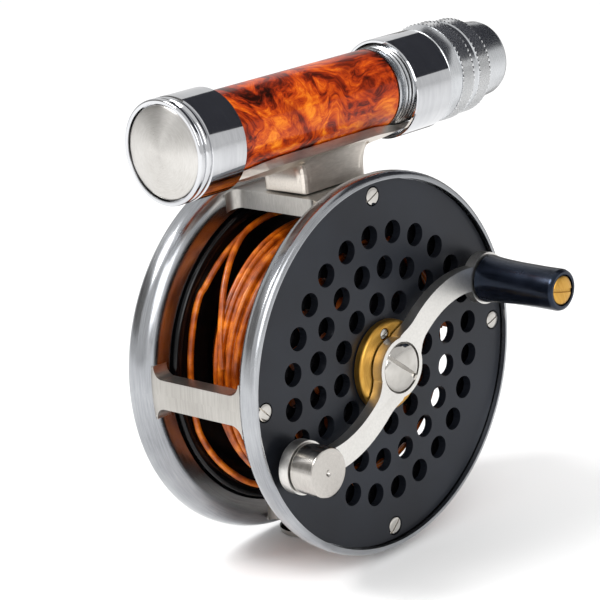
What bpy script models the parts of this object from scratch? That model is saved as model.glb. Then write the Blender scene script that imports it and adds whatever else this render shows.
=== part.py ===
"""A single-action fly reel clamped on a short reel seat, in metres, +Z up.

The seat's axis lies along X and the spool's axis along Y, with the crank on the -Y side. The origin is on the
seat's axis, at the mouth of the barrel that takes the rod blank. Sizes below are in millimetres, and places on
the reel are measured from the middle of the front plate's outer face, which reel() turns into world places.
"""

import math

import bmesh
import bpy
from mathutils import Matrix, Vector

MM = 0.001

# How far two pieces that touch are held apart, and the running gap of a shaft in its bore.
SEAT_GAP = 0.3
RUNNING_GAP = 0.3

# Where the reel hangs under the seat.
FOOT_OFFSET = -1.0
BARREL_END = 53.4

# Frame cage. A sink is how far a face lies inside the rings' outer radius.
RING_RADIUS = 38.5
RING_WALL = 6.2
RIM_WALL = 1.4
FLANK_WIDTH = 3.6
FLANK_DEPTH = 3.4
RIM_ROUND = 1.3
RIM_PROUD = 1.2
REAR_RIM_PROUD = 0.6
CAGE_GAP = 23.0
FRONT_FACE = 4.5
REAR_RING_DEPTH = 3.5
BAND_SINK = 1.7
BAND_WALL = 3.6
SIDE_PILLAR_WIDTH = 6.0
TOP_BAR_WIDTH = 21.0
BOTTOM_BAR_WIDTH = 12.0
TOP_FLAT_SINK = 3.3
WINDOW_FILLET = 2.4

# Side plates. The rows of holes run evenly from the bush out to a margin inside the edge.
PLATE_THICKNESS = 1.8
PLATE_HOLE_RADIUS = 2.35
PLATE_HOLE_COUNTS = (12, 18, 24)
PLATE_HOLE_MARGIN = 10.4
BUSH_HOLE_MARGIN = 3.4
PLATE_HOLE_PHASE = 3.8
PLATE_SCREW_MARGIN = 2.6
PLATE_SCREW_HEAD_RADIUS = 1.8
PLATE_SCREW_SHANK_RADIUS = 0.9
PLATE_SCREW_LENGTH = 4.0
SCREW_SINK = 0.9
SCREW_PROUD = 0.15

# Bearings.
SPINDLE_RADIUS = 2.9
BUSH_WALL = 1.8
BUSH_FLANGE_RADIUS = 9.2
BUSH_FLANGE_THICKNESS = 1.8
BUSH_SCREW_MARGIN = 2.1
BUSH_SCREW_HEAD_RADIUS = 1.1
BUSH_SCREW_SHANK_RADIUS = 0.55
BUSH_SCREW_ANGLES = (103.0, 223.0, 343.0)
FRONT_BUSH_PROUD = 0.4

# Spool.
SPOOL_GAP = 0.5
SPOOL_END_GAP = 0.8
FLANGE_THICKNESS = 1.3
REAR_FLANGE_SINK = 1.1
FLANGE_LIP_WIDTH = 2.3
FLANGE_LIP_DEPTH = 1.0
OUTER_FLANGE_HOLES = (20, 2.5)
OUTER_FLANGE_HOLE_MARGIN = 9.0
INNER_FLANGE_HOLES = (12, 2.2)
INNER_FLANGE_HOLE_MARGIN = 7.6
FLANGE_HOLE_PHASE = 0.5
ARBOR_RADIUS = 8.0

# Line. It lies deepest towards the back of the spool and thins out at both ends.
LINE_ROOM = 4.4
LINE_SLOPE = 1.0
LINE_EDGE_DROP = 4.4
LINE_EDGE_WIDTH = 5.3
LINE_TAIL_DROP = 4.4
LINE_TAIL_WIDTH = 6.0

# Click.
GEAR_RADIUS = 8.6
GEAR_TOOTH_DEPTH = 1.1
GEAR_TEETH = 24
CLICK_THICKNESS = 1.2
CLICK_GAP = 0.5
PAWL_REACH = 7.15
PAWL_ANGLE = -77.5
PAWL_HUB_RADIUS = 2.1
POST_RADIUS = 0.7
SPRING_POST_REACH = 6.9
SPRING_POST_SPREAD = 30.0
SPRING_THICKNESS = 0.35

# Crank, counterweight and knob.
CRANK_ANGLE = 22.0
CRANK_THICKNESS = 2.3
CRANK_ARM_WIDTH = 5.0
CRANK_ARM_RELIEF = 0.04
KNOB_THROW = 30.0
WEIGHT_THROW = 31.3
WEIGHT_RADIUS = 4.9
WEIGHT_HEIGHT = 5.4
CRANK_END_MARGIN = 0.4
TANG_CORNER_SINK = 0.07
CRANK_SCREW_HEAD_RADIUS = 5.0
CRANK_SCREW_SHANK_RADIUS = 1.0
COUNTERBORE_WALL = 1.2
COUNTERBORE_DEPTH = 1.2
KNOB_LENGTH = 18.8
KNOB_BASE_RADIUS = 4.9
KNOB_WAIST_RADIUS = 4.45
KNOB_END_RADIUS = 4.25
KNOB_CHAMFER = 0.8
HANDLE_HEAD_RADIUS = 2.9
HANDLE_HEAD_THICKNESS = 1.0
HANDLE_SHANK_RADIUS = 1.5

# Reel foot.
PEDESTAL_HEIGHT = 7.2
PEDESTAL_LENGTH = 17.6
PEDESTAL_WIDTH = 11.2
PEDESTAL_FLARE = 1.7
FOOT_IN_CAP = 6.8
FOOT_IN_HOOD = 6.2
FOOT_THICKNESS = 1.9
FOOT_TIP_THICKNESS = 0.9
FOOT_HALF_ANGLE = 45.0
FOOT_TIP_HALF_ANGLE = 20.0
FOOT_SCREW_SPREAD = 9.0
FOOT_SCREW_SHANK_RADIUS = 1.2
FOOT_SCREW_HEAD_RADIUS = 2.3
FOOT_SCREW_HEAD_THICKNESS = 1.1
FOOT_SCREW_REACH = 3.2

# Rest stud.
STUD_INSET = 2.5
STUD_RADIUS = 5.5
STUD_NECK_RADIUS = 2.6
STUD_STEM_RADIUS = 1.3
STUD_THICKNESS = 1.4

# Reel seat.
SOCKET_RADIUS = 5.2
SLEEVE_WALL = 1.3
WOOD_RADIUS = 8.2
WOOD_FRONT = 17.5
THREAD_PROUD = 0.1
BARREL_NOSE = 8.8
HOOD_ROOM = 1.4
HOOD_WALL = 0.6
HOOD_DROP = 0.6
HOOD_FROM_WOOD = 3.3
HOOD_LENGTH = 10.8
HOOD_LIP = 1.2
CAP_RIM = -28.2
CAP_END = -40.4
CAP_FLOOR = 3.2
CAP_PLATE_MARGIN = 1.4
CAP_PLATE_DOME = 0.8
CAP_PLATE_SINK = 1.2
SPIGOT_LENGTH = 6.0
NUT_WALL = 1.8
NUT_NECK_WALL = 1.0
NUT_BAND_STEP = 0.4
NUT_FLARE = 3.3
NUT_BAND_WIDTHS = (3.7, 3.6)
NUT_GROOVE_WIDTH = 2.1
NUT_SHORT_OF_BARREL = 0.4
NOSE_WALLS = (1.8, 1.0)

# How many flats stand for a full circle.
BIG_FLATS = 48
MIDDLE_FLATS = 24
SMALL_FLATS = 12
HOLE_FLATS = 6

# Sizes that follow from the ones above. First the frame and its plates, out from the rings.
RING_FACE_RADIUS = RING_RADIUS - FLANK_WIDTH
RING_BORE_RADIUS = RING_RADIUS - RING_WALL
BAND_OUTER_RADIUS = RING_RADIUS - BAND_SINK
BAND_INNER_RADIUS = BAND_OUTER_RADIUS - BAND_WALL
TOP_FLAT_HEIGHT = RING_RADIUS - TOP_FLAT_SINK
REBATE_RADIUS = RING_RADIUS - RIM_WALL
PLATE_RADIUS = REBATE_RADIUS - SEAT_GAP
PLATE_SCREW_CIRCLE = PLATE_RADIUS - PLATE_SCREW_MARGIN
REAR_FACE = FRONT_FACE + CAGE_GAP
FRONT_SHOULDER = PLATE_THICKNESS + SEAT_GAP
REAR_PLATE_AT = REAR_FACE + REAR_RING_DEPTH
REAR_SHOULDER = REAR_PLATE_AT - SEAT_GAP
FRAME_FRONT = -RIM_PROUD
FRAME_REAR = REAR_PLATE_AT + PLATE_THICKNESS + REAR_RIM_PROUD
FOOT_MIDDLE = FRONT_FACE + CAGE_GAP / 2 + FOOT_OFFSET
SEAT_HEIGHT = TOP_FLAT_HEIGHT + PEDESTAL_HEIGHT + WOOD_RADIUS
STUD_AT = REAR_FACE - STUD_INSET

# The bearings, out from the spindle.
SHAFT_BORE_RADIUS = SPINDLE_RADIUS + RUNNING_GAP
BUSH_BODY_RADIUS = SHAFT_BORE_RADIUS + BUSH_WALL
PLATE_BORE_RADIUS = BUSH_BODY_RADIUS + SEAT_GAP
BUSH_SCREW_CIRCLE = BUSH_FLANGE_RADIUS - BUSH_SCREW_MARGIN
FRONT_BUSH_REACH = PLATE_THICKNESS + FRONT_BUSH_PROUD
INNER_HOLE_CIRCLE = BUSH_FLANGE_RADIUS + BUSH_HOLE_MARGIN
OUTER_HOLE_CIRCLE = PLATE_RADIUS - PLATE_HOLE_MARGIN
MIDDLE_HOLE_CIRCLE = (INNER_HOLE_CIRCLE + OUTER_HOLE_CIRCLE) / 2
PLATE_HOLE_ROWS = tuple(zip(PLATE_HOLE_COUNTS, (INNER_HOLE_CIRCLE, MIDDLE_HOLE_CIRCLE, OUTER_HOLE_CIRCLE)))

# The spool, its line and the click.
SPOOL_RADIUS = RING_BORE_RADIUS - SPOOL_GAP
FRONT_FLANGE_AT = PLATE_THICKNESS + SPOOL_END_GAP
REAR_FLANGE_BACK = REAR_FACE + REAR_FLANGE_SINK
REAR_FLANGE_AT = REAR_FLANGE_BACK - FLANGE_THICKNESS
INNER_FLANGE_ROW = (INNER_FLANGE_HOLES[0], ARBOR_RADIUS + INNER_FLANGE_HOLE_MARGIN, INNER_FLANGE_HOLES[1])
OUTER_FLANGE_ROW = (OUTER_FLANGE_HOLES[0], SPOOL_RADIUS - OUTER_FLANGE_HOLE_MARGIN, OUTER_FLANGE_HOLES[1])
LINE_RADIUS = SPOOL_RADIUS - LINE_ROOM
CLICK_AT = REAR_FLANGE_BACK + CLICK_GAP
PAWL_CIRCLE = GEAR_RADIUS + RUNNING_GAP + PAWL_REACH
SPRING_POST_CIRCLE = PAWL_CIRCLE + SPRING_POST_REACH

# The crank, outside the front bush.
CRANK_BACK = -(SEAT_GAP + BUSH_FLANGE_THICKNESS + RUNNING_GAP)
CRANK_FRONT = CRANK_BACK - CRANK_THICKNESS
COUNTERBORE_FLOOR = CRANK_FRONT + COUNTERBORE_DEPTH
CRANK_BOSS_RADIUS = CRANK_SCREW_HEAD_RADIUS + SEAT_GAP + COUNTERBORE_WALL
CRANK_END_RADIUS = max(KNOB_BASE_RADIUS, WEIGHT_RADIUS) + CRANK_END_MARGIN
TANG_WIDTH = (SPINDLE_RADIUS - TANG_CORNER_SINK) * math.sqrt(2)

# The seat, out from the rod's socket and from the wood, and along it from the wood's front end.
SLEEVE_RADIUS = SOCKET_RADIUS + SLEEVE_WALL
THREAD_RADIUS = WOOD_RADIUS + THREAD_PROUD
THREAD_END = BARREL_END - BARREL_NOSE
CAP_BORE_RADIUS = WOOD_RADIUS + HOOD_ROOM
HOOD_RADIUS = CAP_BORE_RADIUS + HOOD_WALL
CAP_PLATE_RADIUS = HOOD_RADIUS - CAP_PLATE_MARGIN
HOOD_MOUTH = WOOD_FRONT + HOOD_FROM_WOOD
HOOD_BACK = HOOD_MOUTH + HOOD_LENGTH
FOOT_BACK = CAP_RIM - FOOT_IN_CAP
FOOT_FRONT = HOOD_MOUTH + FOOT_IN_HOOD
SEAT_BACK = CAP_END + CAP_FLOOR + SEAT_GAP
NUT_AT = HOOD_BACK + RUNNING_GAP
NUT_BORE_RADIUS = THREAD_RADIUS + RUNNING_GAP
NUT_NECK_RADIUS = NUT_BORE_RADIUS + NUT_NECK_WALL
NUT_BANDS_FROM = NUT_AT + NUT_FLARE
NUT_END = BARREL_END - NUT_SHORT_OF_BARREL
NOSE_BORE_RADIUS = SLEEVE_RADIUS + RUNNING_GAP

ROTATIONS = {"X": Matrix.Rotation(math.radians(90), 4, "Y"), "Y": Matrix.Rotation(math.radians(-90), 4, "X")}
ROTATIONS["Z"] = Matrix.Identity(4)


# ---------------------------------------------------------------- the scene


def start_scene():
    for old in list(bpy.data.objects):
        bpy.data.objects.remove(old, do_unlink=True)
    parts = bpy.data.collections.new("fly_reel")
    cutters = bpy.data.collections.new("cutters")
    for collection in (parts, cutters):
        bpy.context.scene.collection.children.link(collection)
    return parts, cutters


PARTS, CUTTERS = start_scene()


def material(name, colour, metallic, roughness):
    made = bpy.data.materials.new(name)
    made.use_nodes = True
    shader = made.node_tree.nodes["Principled BSDF"]
    shader.inputs["Base Color"].default_value = (*colour, 1.0)
    shader.inputs["Metallic"].default_value = metallic
    shader.inputs["Roughness"].default_value = roughness
    made.diffuse_color = (*colour, 1.0)
    return made


SATIN_ALUMINIUM = material("satin_aluminium", (0.72, 0.72, 0.71), 1.0, 0.32)
POLISHED_SILVER = material("polished_silver", (0.78, 0.78, 0.77), 1.0, 0.08)
BLACK_ANODISED = material("black_anodised", (0.035, 0.037, 0.042), 0.3, 0.42)
GLOSS_BLACK = material("gloss_black", (0.01, 0.01, 0.012), 0.2, 0.2)
BRASS = material("brass", (0.78, 0.54, 0.22), 1.0, 0.25)
STEEL = material("steel", (0.62, 0.61, 0.6), 1.0, 0.22)
EBONITE = material("black_ebonite", (0.012, 0.013, 0.016), 0.0, 0.3)
BURL = material("burl_wood", (0.6, 0.2, 0.04), 0.0, 0.15)
LINE = material("fly_line", (0.65, 0.25, 0.04), 0.0, 0.5)


def reel(x, y, z):
    """A place in the world, in millimetres, from its place on the reel."""
    return Vector((x - BARREL_END, y - FOOT_MIDDLE, z - SEAT_HEIGHT))


def seat(x, drop=0.0):
    """A place on the seat's axis, x along the reel's own measure, or that far under the axis."""
    return reel(x, FOOT_MIDDLE, SEAT_HEIGHT - drop)


def round_the_spool(radius, degrees, y=0.0):
    """A place on a circle round the spool's axis. Angles run from +X towards +Z."""
    turn = math.radians(degrees)
    return reel(radius * math.cos(turn), y, radius * math.sin(turn))


# ---------------------------------------------------------------- shapes


def keep(obj, finish, collection=None):
    (collection or PARTS).objects.link(obj)
    if finish:
        obj.data.materials.append(finish)
    return obj


def as_cutter(obj):
    CUTTERS.objects.link(obj)
    obj.hide_render = True
    obj.display_type = "WIRE"
    return obj


def profile_area(profile):
    area = 0.0
    for (r0, h0), (r1, h1) in zip(profile, profile[1:] + profile[:1]):
        area += r0 * h1 - r1 * h0
    return area / 2


def turned_object(name, profile, axis, place, flats):
    """A profile of (radius, height) points turned about an axis through a place in millimetres."""
    if profile_area(profile) > 0:
        profile = profile[::-1]
    count = len(profile)
    whole = profile[0][0] > 0 or profile[-1][0] > 0
    edges = [(i, (i + 1) % count) for i in range(count if whole else count - 1)]
    mesh = bpy.data.meshes.new(name)
    mesh.from_pydata([(r * MM, 0.0, h * MM) for r, h in profile], edges, [])
    obj = bpy.data.objects.new(name, mesh)
    screw = obj.modifiers.new("turn", "SCREW")
    screw.steps = flats
    screw.render_steps = flats
    screw.use_merge_vertices = True
    screw.merge_threshold = 1e-6
    obj.matrix_world = Matrix.Translation(place * MM) @ ROTATIONS[axis]
    return obj


def turned(name, finish, profile, axis="Y", place=None, flats=MIDDLE_FLATS):
    place = reel(0, 0, 0) if place is None else place
    return keep(turned_object(name, profile, axis, place, flats), finish)


def tube_profile(inner, outer, low, high):
    return [(outer, high), (outer, low), (inner, low), (inner, high)]


def object_of(name, bm):
    mesh = bpy.data.meshes.new(name)
    bm.to_mesh(mesh)
    bm.free()
    return bpy.data.objects.new(name, mesh)


def add_pin(bm, place, radius, length, axis="Y", flats=SMALL_FLATS):
    """A closed pin that starts at a place and runs up its axis, on a bmesh in metres."""
    middle = place + ROTATIONS[axis] @ Vector((0, 0, length / 2))
    bmesh.ops.create_cone(
        bm,
        cap_ends=True,
        segments=flats,
        radius1=radius * MM,
        radius2=radius * MM,
        depth=length * MM,
        matrix=Matrix.Translation(middle * MM) @ ROTATIONS[axis],
    )


def add_box(bm, low, high):
    """A box between two corners, in millimetres, on a bmesh in metres."""
    size = high - low
    matrix = Matrix.Translation((low + high) * MM / 2) @ Matrix.Diagonal((*(size * MM), 1.0))
    bmesh.ops.create_cube(bm, size=1.0, matrix=matrix)


def pins_cutter(name, pins):
    """One cutter of straight pins, each (place, radius, length, axis, flats)."""
    bm = bmesh.new()
    for pin in pins:
        add_pin(bm, *pin)
    return as_cutter(object_of(name, bm))


def boxes_cutter(name, boxes, turn=None):
    bm = bmesh.new()
    for low, high in boxes:
        add_box(bm, low, high)
    if turn:
        bmesh.ops.transform(bm, matrix=turn, verts=bm.verts)
    return as_cutter(object_of(name, bm))


def boolean(obj, other, operation="DIFFERENCE"):
    modifier = obj.modifiers.new(operation.lower(), "BOOLEAN")
    modifier.operation = operation
    modifier.object = other
    return obj


def turn_about(place, degrees, axis="Y"):
    """The turn about a place in millimetres, as a matrix in metres."""
    there = Matrix.Translation(place * MM)
    return there @ Matrix.Rotation(math.radians(degrees), 4, axis) @ there.inverted()


def arc(centre, radii, start, end, steps):
    """Points of an elliptical arc in the (radius, height) plane."""
    points = []
    for i in range(steps + 1):
        turn = math.radians(start + (end - start) * i / steps)
        points.append((centre[0] + radii[0] * math.cos(turn), centre[1] + radii[1] * math.sin(turn)))
    return points


def hinge_empty(name, place):
    """An empty on a joint's axis, which the pieces that turn there are parented to."""
    empty = bpy.data.objects.new(name, None)
    empty.location = place * MM
    PARTS.objects.link(empty)
    return empty


def hang(pieces, empty):
    """Parents the pieces to the empty and leaves them where they are."""
    bpy.context.view_layer.update()
    for piece in pieces:
        place = piece.matrix_world.copy()
        piece.parent = empty
        piece.matrix_parent_inverse = empty.matrix_world.inverted()
        piece.matrix_world = place


def slotted_screw(name, finish, place, head, shank, facing=-1, slot_turn=0.0, flats=SMALL_FLATS):
    """A screw along Y. head and shank are (radius, length), and place is the middle of its outer face."""
    step = -facing
    edge = min(0.25, head[1] / 3)
    profile = [
        (0.0, 0.0),
        (head[0] - edge, 0.0),
        (head[0], step * edge),
        (head[0], step * head[1]),
        (shank[0], step * head[1]),
        (shank[0], step * (head[1] + shank[1])),
        (0.0, step * (head[1] + shank[1])),
    ]
    screw = turned(name, finish, profile, place=place, flats=flats)
    wide = head[0] * 1.3
    slot = head[0] * 0.14
    deep = head[1] * 0.5
    low = place + Vector((-wide, -deep, -slot))
    high = place + Vector((wide, deep, slot))
    boolean(screw, boxes_cutter(name + "_slot", [(low, high)], turn_about(place, -slot_turn)))
    return screw


# ---------------------------------------------------------------- the frame cage


def flank(face, step, sunk=0.0):
    """The rounded shoulder of a ring from its flat inner face out to its rim, as (radius, height) points."""
    width = RING_RADIUS - RING_FACE_RADIUS
    points = []
    for i in range(5):
        turn = math.radians(22.5 * i)
        height = face + step * (sunk + FLANK_DEPTH * (1 - math.cos(turn)))
        points.append((RING_FACE_RADIUS + width * math.sin(turn), height))
    return points


def rim_round(end, step):
    """The round from a ring's rim to its outer edge."""
    middle = (RING_RADIUS - RIM_ROUND, end + step * RIM_ROUND)
    points = arc(middle, (RIM_ROUND, -step * RIM_ROUND), 0, 90, 2)
    return points


def cage_profile():
    front_flank = [p for p in flank(FRONT_FACE, -1) if p[0] > BAND_OUTER_RADIUS]
    rear_flank = [p for p in flank(REAR_FACE, 1) if p[0] > BAND_OUTER_RADIUS]
    band_start = FLANK_DEPTH * (1 - math.cos(math.asin(
        (BAND_OUTER_RADIUS - RING_FACE_RADIUS) / (RING_RADIUS - RING_FACE_RADIUS))))
    outer = rim_round(FRAME_FRONT, 1)[::-1] + front_flank[::-1]
    outer += [(BAND_OUTER_RADIUS, FRONT_FACE - band_start), (BAND_OUTER_RADIUS, REAR_FACE + band_start)]
    outer += rear_flank + rim_round(FRAME_REAR, -1)
    inner = [
        (REBATE_RADIUS, FRAME_REAR),
        (REBATE_RADIUS, REAR_SHOULDER),
        (RING_BORE_RADIUS, REAR_SHOULDER),
        (RING_BORE_RADIUS, REAR_FACE),
        (BAND_INNER_RADIUS, REAR_FACE),
        (BAND_INNER_RADIUS, FRONT_FACE),
        (RING_BORE_RADIUS, FRONT_FACE),
        (RING_BORE_RADIUS, FRONT_SHOULDER),
        (REBATE_RADIUS, FRONT_SHOULDER),
        (REBATE_RADIUS, FRAME_FRONT),
    ]
    return outer + inner


def half_angle(width):
    return math.degrees(math.asin(width / 2 / BAND_OUTER_RADIUS))


def window_spans():
    """Where the four windows start and end round the spool's axis, in degrees."""
    top, side, bottom = (half_angle(w) for w in (TOP_BAR_WIDTH, SIDE_PILLAR_WIDTH, BOTTOM_BAR_WIDTH))
    return ((side, 90 - top), (90 + top, 180 - side), (180 + side, 270 - bottom), (270 + bottom, 360 - side))


def window_cutter(index, start, end):
    """A slice of a turned shape that follows the rings' flanks a little inside them, with rounded ends."""
    inside = 0.06
    reach = RING_RADIUS + 4
    section = [(RING_BORE_RADIUS - 2, FRONT_FACE - inside)] + flank(FRONT_FACE, -1, inside)
    section += [(reach, FRONT_FACE - FLANK_DEPTH - inside), (reach, REAR_FACE + FLANK_DEPTH + inside)]
    section += flank(REAR_FACE, 1, inside)[::-1] + [(RING_BORE_RADIUS - 2, REAR_FACE + inside)]
    bm = bmesh.new()
    place = reel(0, 0, 0)
    points = []
    for radius, height in section:
        turn = math.radians(start)
        point = place + Vector((radius * math.cos(turn), height, radius * math.sin(turn)))
        points.append(bm.verts.new(point * MM))
    face = bm.faces.new(points)
    steps = max(6, round((end - start) / 360 * BIG_FLATS))
    bmesh.ops.spin(
        bm, geom=[face, *face.edges, *face.verts], cent=place * MM, axis=(0, -1, 0),
        angle=math.radians(end - start), steps=steps, use_merge=False, use_duplicate=False,
    )
    bmesh.ops.remove_doubles(bm, verts=bm.verts, dist=1e-7)
    bmesh.ops.recalc_face_normals(bm, faces=bm.faces)
    ends = [f for f in bm.faces if len(f.verts) > 4]
    corners = [edge for f in ends for edge in f.edges if side_edge(edge)]
    bmesh.ops.bevel(bm, geom=corners, offset=WINDOW_FILLET * MM, segments=2, profile=0.5, affect="EDGES")
    return as_cutter(object_of(f"window_cutter_{index}", bm))


def side_edge(edge):
    """Whether an edge of a window's end runs across the ring and not along the spool's axis."""
    along = (edge.verts[0].co - edge.verts[1].co).normalized()
    return abs(along.y) < 0.9 or edge.calc_length() < 4 * MM


def cage():
    body = turned("frame_cage", SATIN_ALUMINIUM, cage_profile(), flats=BIG_FLATS)
    for index, (start, end) in enumerate(window_spans(), 1):
        boolean(body, window_cutter(index, start, end))
    wide = TOP_BAR_WIDTH
    flat = (reel(-wide, FRONT_FACE, TOP_FLAT_HEIGHT), reel(wide, REAR_FACE, RING_RADIUS + 4))
    boolean(body, boxes_cutter("top_flat_cutter", [flat]))
    pins = []
    hole = PLATE_SCREW_SHANK_RADIUS + SEAT_GAP
    depth = PLATE_SCREW_LENGTH + 1.0
    for degrees in (0, 90, 180, 270):
        pins.append((round_the_spool(PLATE_SCREW_CIRCLE, degrees, FRONT_SHOULDER - 1), hole, depth, "Y", 8))
        back = round_the_spool(PLATE_SCREW_CIRCLE, degrees, REAR_SHOULDER + 1 - depth)
        pins.append((back, hole, depth, "Y", 8))
    for x in foot_screw_xs():
        start = reel(x, FOOT_MIDDLE, BAND_INNER_RADIUS - 3)
        pins.append((start, FOOT_SCREW_SHANK_RADIUS + SEAT_GAP, 8, "Z", 12))
    stem = STUD_STEM_RADIUS + SEAT_GAP
    pins.append((reel(0, STUD_AT, -BAND_OUTER_RADIUS - 2), stem, 8, "Z", 12))
    boolean(body, pins_cutter("cage_hole_cutter", pins))
    return body


# ---------------------------------------------------------------- plates and bearings


def hole_places(rows, phase, y, avoid=(), clear=0.0):
    """Every (place, radius) of a pattern of hole rows, less those that come too near a place to avoid."""
    places = []
    for row in rows:
        count, circle = row[:2]
        radius = row[2] if len(row) > 2 else PLATE_HOLE_RADIUS
        for i in range(count):
            place = round_the_spool(circle, phase + 360 * i / count, y)
            if all((place - other).xz.length > radius + clear for other in avoid):
                places.append((place, radius))
    return places


def plate(name, outer_face, inner_face, outward, posts=()):
    """A perforated side plate between two heights, sunk for its screw heads on its outer face."""
    low, high = sorted((outer_face, inner_face))
    profile = tube_profile(PLATE_BORE_RADIUS, PLATE_RADIUS, low, high)
    body = turned(name, BLACK_ANODISED, profile, flats=BIG_FLATS)
    through = low - 1
    length = PLATE_THICKNESS + 2
    avoid = [place for place, radius in posts]
    pins = [
        (place, radius, length, "Y", HOLE_FLATS)
        for place, radius in hole_places(PLATE_HOLE_ROWS, PLATE_HOLE_PHASE, through, avoid, POST_RADIUS + 1.0)
    ]
    for place, radius in posts:
        pins.append((Vector((place.x, reel(0, through, 0).y, place.z)), radius + SEAT_GAP, length, "Y", 8))
    for degrees in BUSH_SCREW_ANGLES:
        place = round_the_spool(BUSH_SCREW_CIRCLE, degrees, through)
        pins.append((place, BUSH_SCREW_SHANK_RADIUS + SEAT_GAP, length, "Y", 8))
    sink_from = outer_face - 1 if outward < 0 else outer_face - SCREW_SINK
    sink = []
    for degrees in (0, 90, 180, 270):
        place = round_the_spool(PLATE_SCREW_CIRCLE, degrees, through)
        pins.append((place, PLATE_SCREW_SHANK_RADIUS + SEAT_GAP, length, "Y", 8))
        place = round_the_spool(PLATE_SCREW_CIRCLE, degrees, sink_from)
        sink.append((place, PLATE_SCREW_HEAD_RADIUS + SEAT_GAP, SCREW_SINK + 1, "Y", SMALL_FLATS))
    boolean(body, pins_cutter(name + "_sink_cutter", sink))
    boolean(body, pins_cutter(name + "_hole_cutter", pins))
    return body


def plate_screws(side, outer_face, outward):
    """Four slotted screws that hold a plate to the cage's shoulder."""
    thick = SCREW_SINK - SEAT_GAP + SCREW_PROUD
    head = (PLATE_SCREW_HEAD_RADIUS, thick)
    shank = (PLATE_SCREW_SHANK_RADIUS, PLATE_SCREW_LENGTH)
    for index, (degrees, slot_turn) in enumerate(zip((0, 90, 180, 270), (20, 25, -45, 42)), 1):
        place = round_the_spool(PLATE_SCREW_CIRCLE, degrees, outer_face + outward * SCREW_PROUD)
        slotted_screw(f"{side}_plate_screw_{index}", STEEL, place, head, shank, outward, slot_turn)


def front_bush():
    flange_back = -SEAT_GAP
    flange_front = flange_back - BUSH_FLANGE_THICKNESS
    edge = 0.6
    profile = [
        (SHAFT_BORE_RADIUS, flange_front),
        (BUSH_FLANGE_RADIUS - edge, flange_front),
        (BUSH_FLANGE_RADIUS, flange_front + edge),
        (BUSH_FLANGE_RADIUS, flange_back),
        (BUSH_BODY_RADIUS, flange_back),
        (BUSH_BODY_RADIUS, FRONT_BUSH_REACH),
        (SHAFT_BORE_RADIUS, FRONT_BUSH_REACH),
    ]
    body = turned("front_bush", BRASS, profile)
    bush_screws("front", body, flange_front, -1)
    return body


def rear_bush():
    flange_front = REAR_PLATE_AT + PLATE_THICKNESS + SEAT_GAP
    flange_back = flange_front + BUSH_FLANGE_THICKNESS
    edge = 0.6
    profile = [
        (0.0, flange_back),
        (BUSH_FLANGE_RADIUS - edge, flange_back),
        (BUSH_FLANGE_RADIUS, flange_back - edge),
        (BUSH_FLANGE_RADIUS, flange_front),
        (BUSH_BODY_RADIUS, flange_front),
        (BUSH_BODY_RADIUS, REAR_PLATE_AT - 0.1),
        (SHAFT_BORE_RADIUS, REAR_PLATE_AT - 0.1),
        (SHAFT_BORE_RADIUS, flange_back - 0.9),
        (0.0, flange_back - 0.9),
    ]
    body = turned("rear_bush", BRASS, profile)
    bush_screws("rear", body, flange_back, 1)
    return body


def bush_screws(side, bush, face, outward):
    """Three small screws sunk flush in a bush's flange."""
    sink = 0.8
    pins = []
    for degrees in BUSH_SCREW_ANGLES:
        low = face - sink if outward > 0 else face - 1
        place = round_the_spool(BUSH_SCREW_CIRCLE, degrees, low)
        pins.append((place, BUSH_SCREW_HEAD_RADIUS + SEAT_GAP, sink + 1, "Y", 12))
    boolean(bush, pins_cutter(f"{side}_bush_sink_cutter", pins))
    start = face - 1 if outward < 0 else face - BUSH_FLANGE_THICKNESS - 1
    pins = []
    for degrees in BUSH_SCREW_ANGLES:
        place = round_the_spool(BUSH_SCREW_CIRCLE, degrees, start)
        pins.append((place, BUSH_SCREW_SHANK_RADIUS + SEAT_GAP, BUSH_FLANGE_THICKNESS + 2, "Y", 8))
    boolean(bush, pins_cutter(f"{side}_bush_hole_cutter", pins))
    head = (BUSH_SCREW_HEAD_RADIUS, sink - SEAT_GAP)
    shank = (BUSH_SCREW_SHANK_RADIUS, 2.4)
    for index, degrees in enumerate(BUSH_SCREW_ANGLES, 1):
        place = round_the_spool(BUSH_SCREW_CIRCLE, degrees, face)
        slotted_screw(f"{side}_bush_screw_{index}", STEEL, place, head, shank, outward, 20, 12)


# ---------------------------------------------------------------- the spool and what turns with it


def spool_flange(name, profile, hole_rows):
    body = turned(name, GLOSS_BLACK, profile, flats=BIG_FLATS)
    low = min(h for r, h in profile) - 1
    high = max(h for r, h in profile) + 1
    pins = [
        (place, radius, high - low, "Y", HOLE_FLATS)
        for place, radius in hole_places(hole_rows, FLANGE_HOLE_PHASE, low)
    ]
    return boolean(body, pins_cutter(name + "_hole_cutter", pins))


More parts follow.
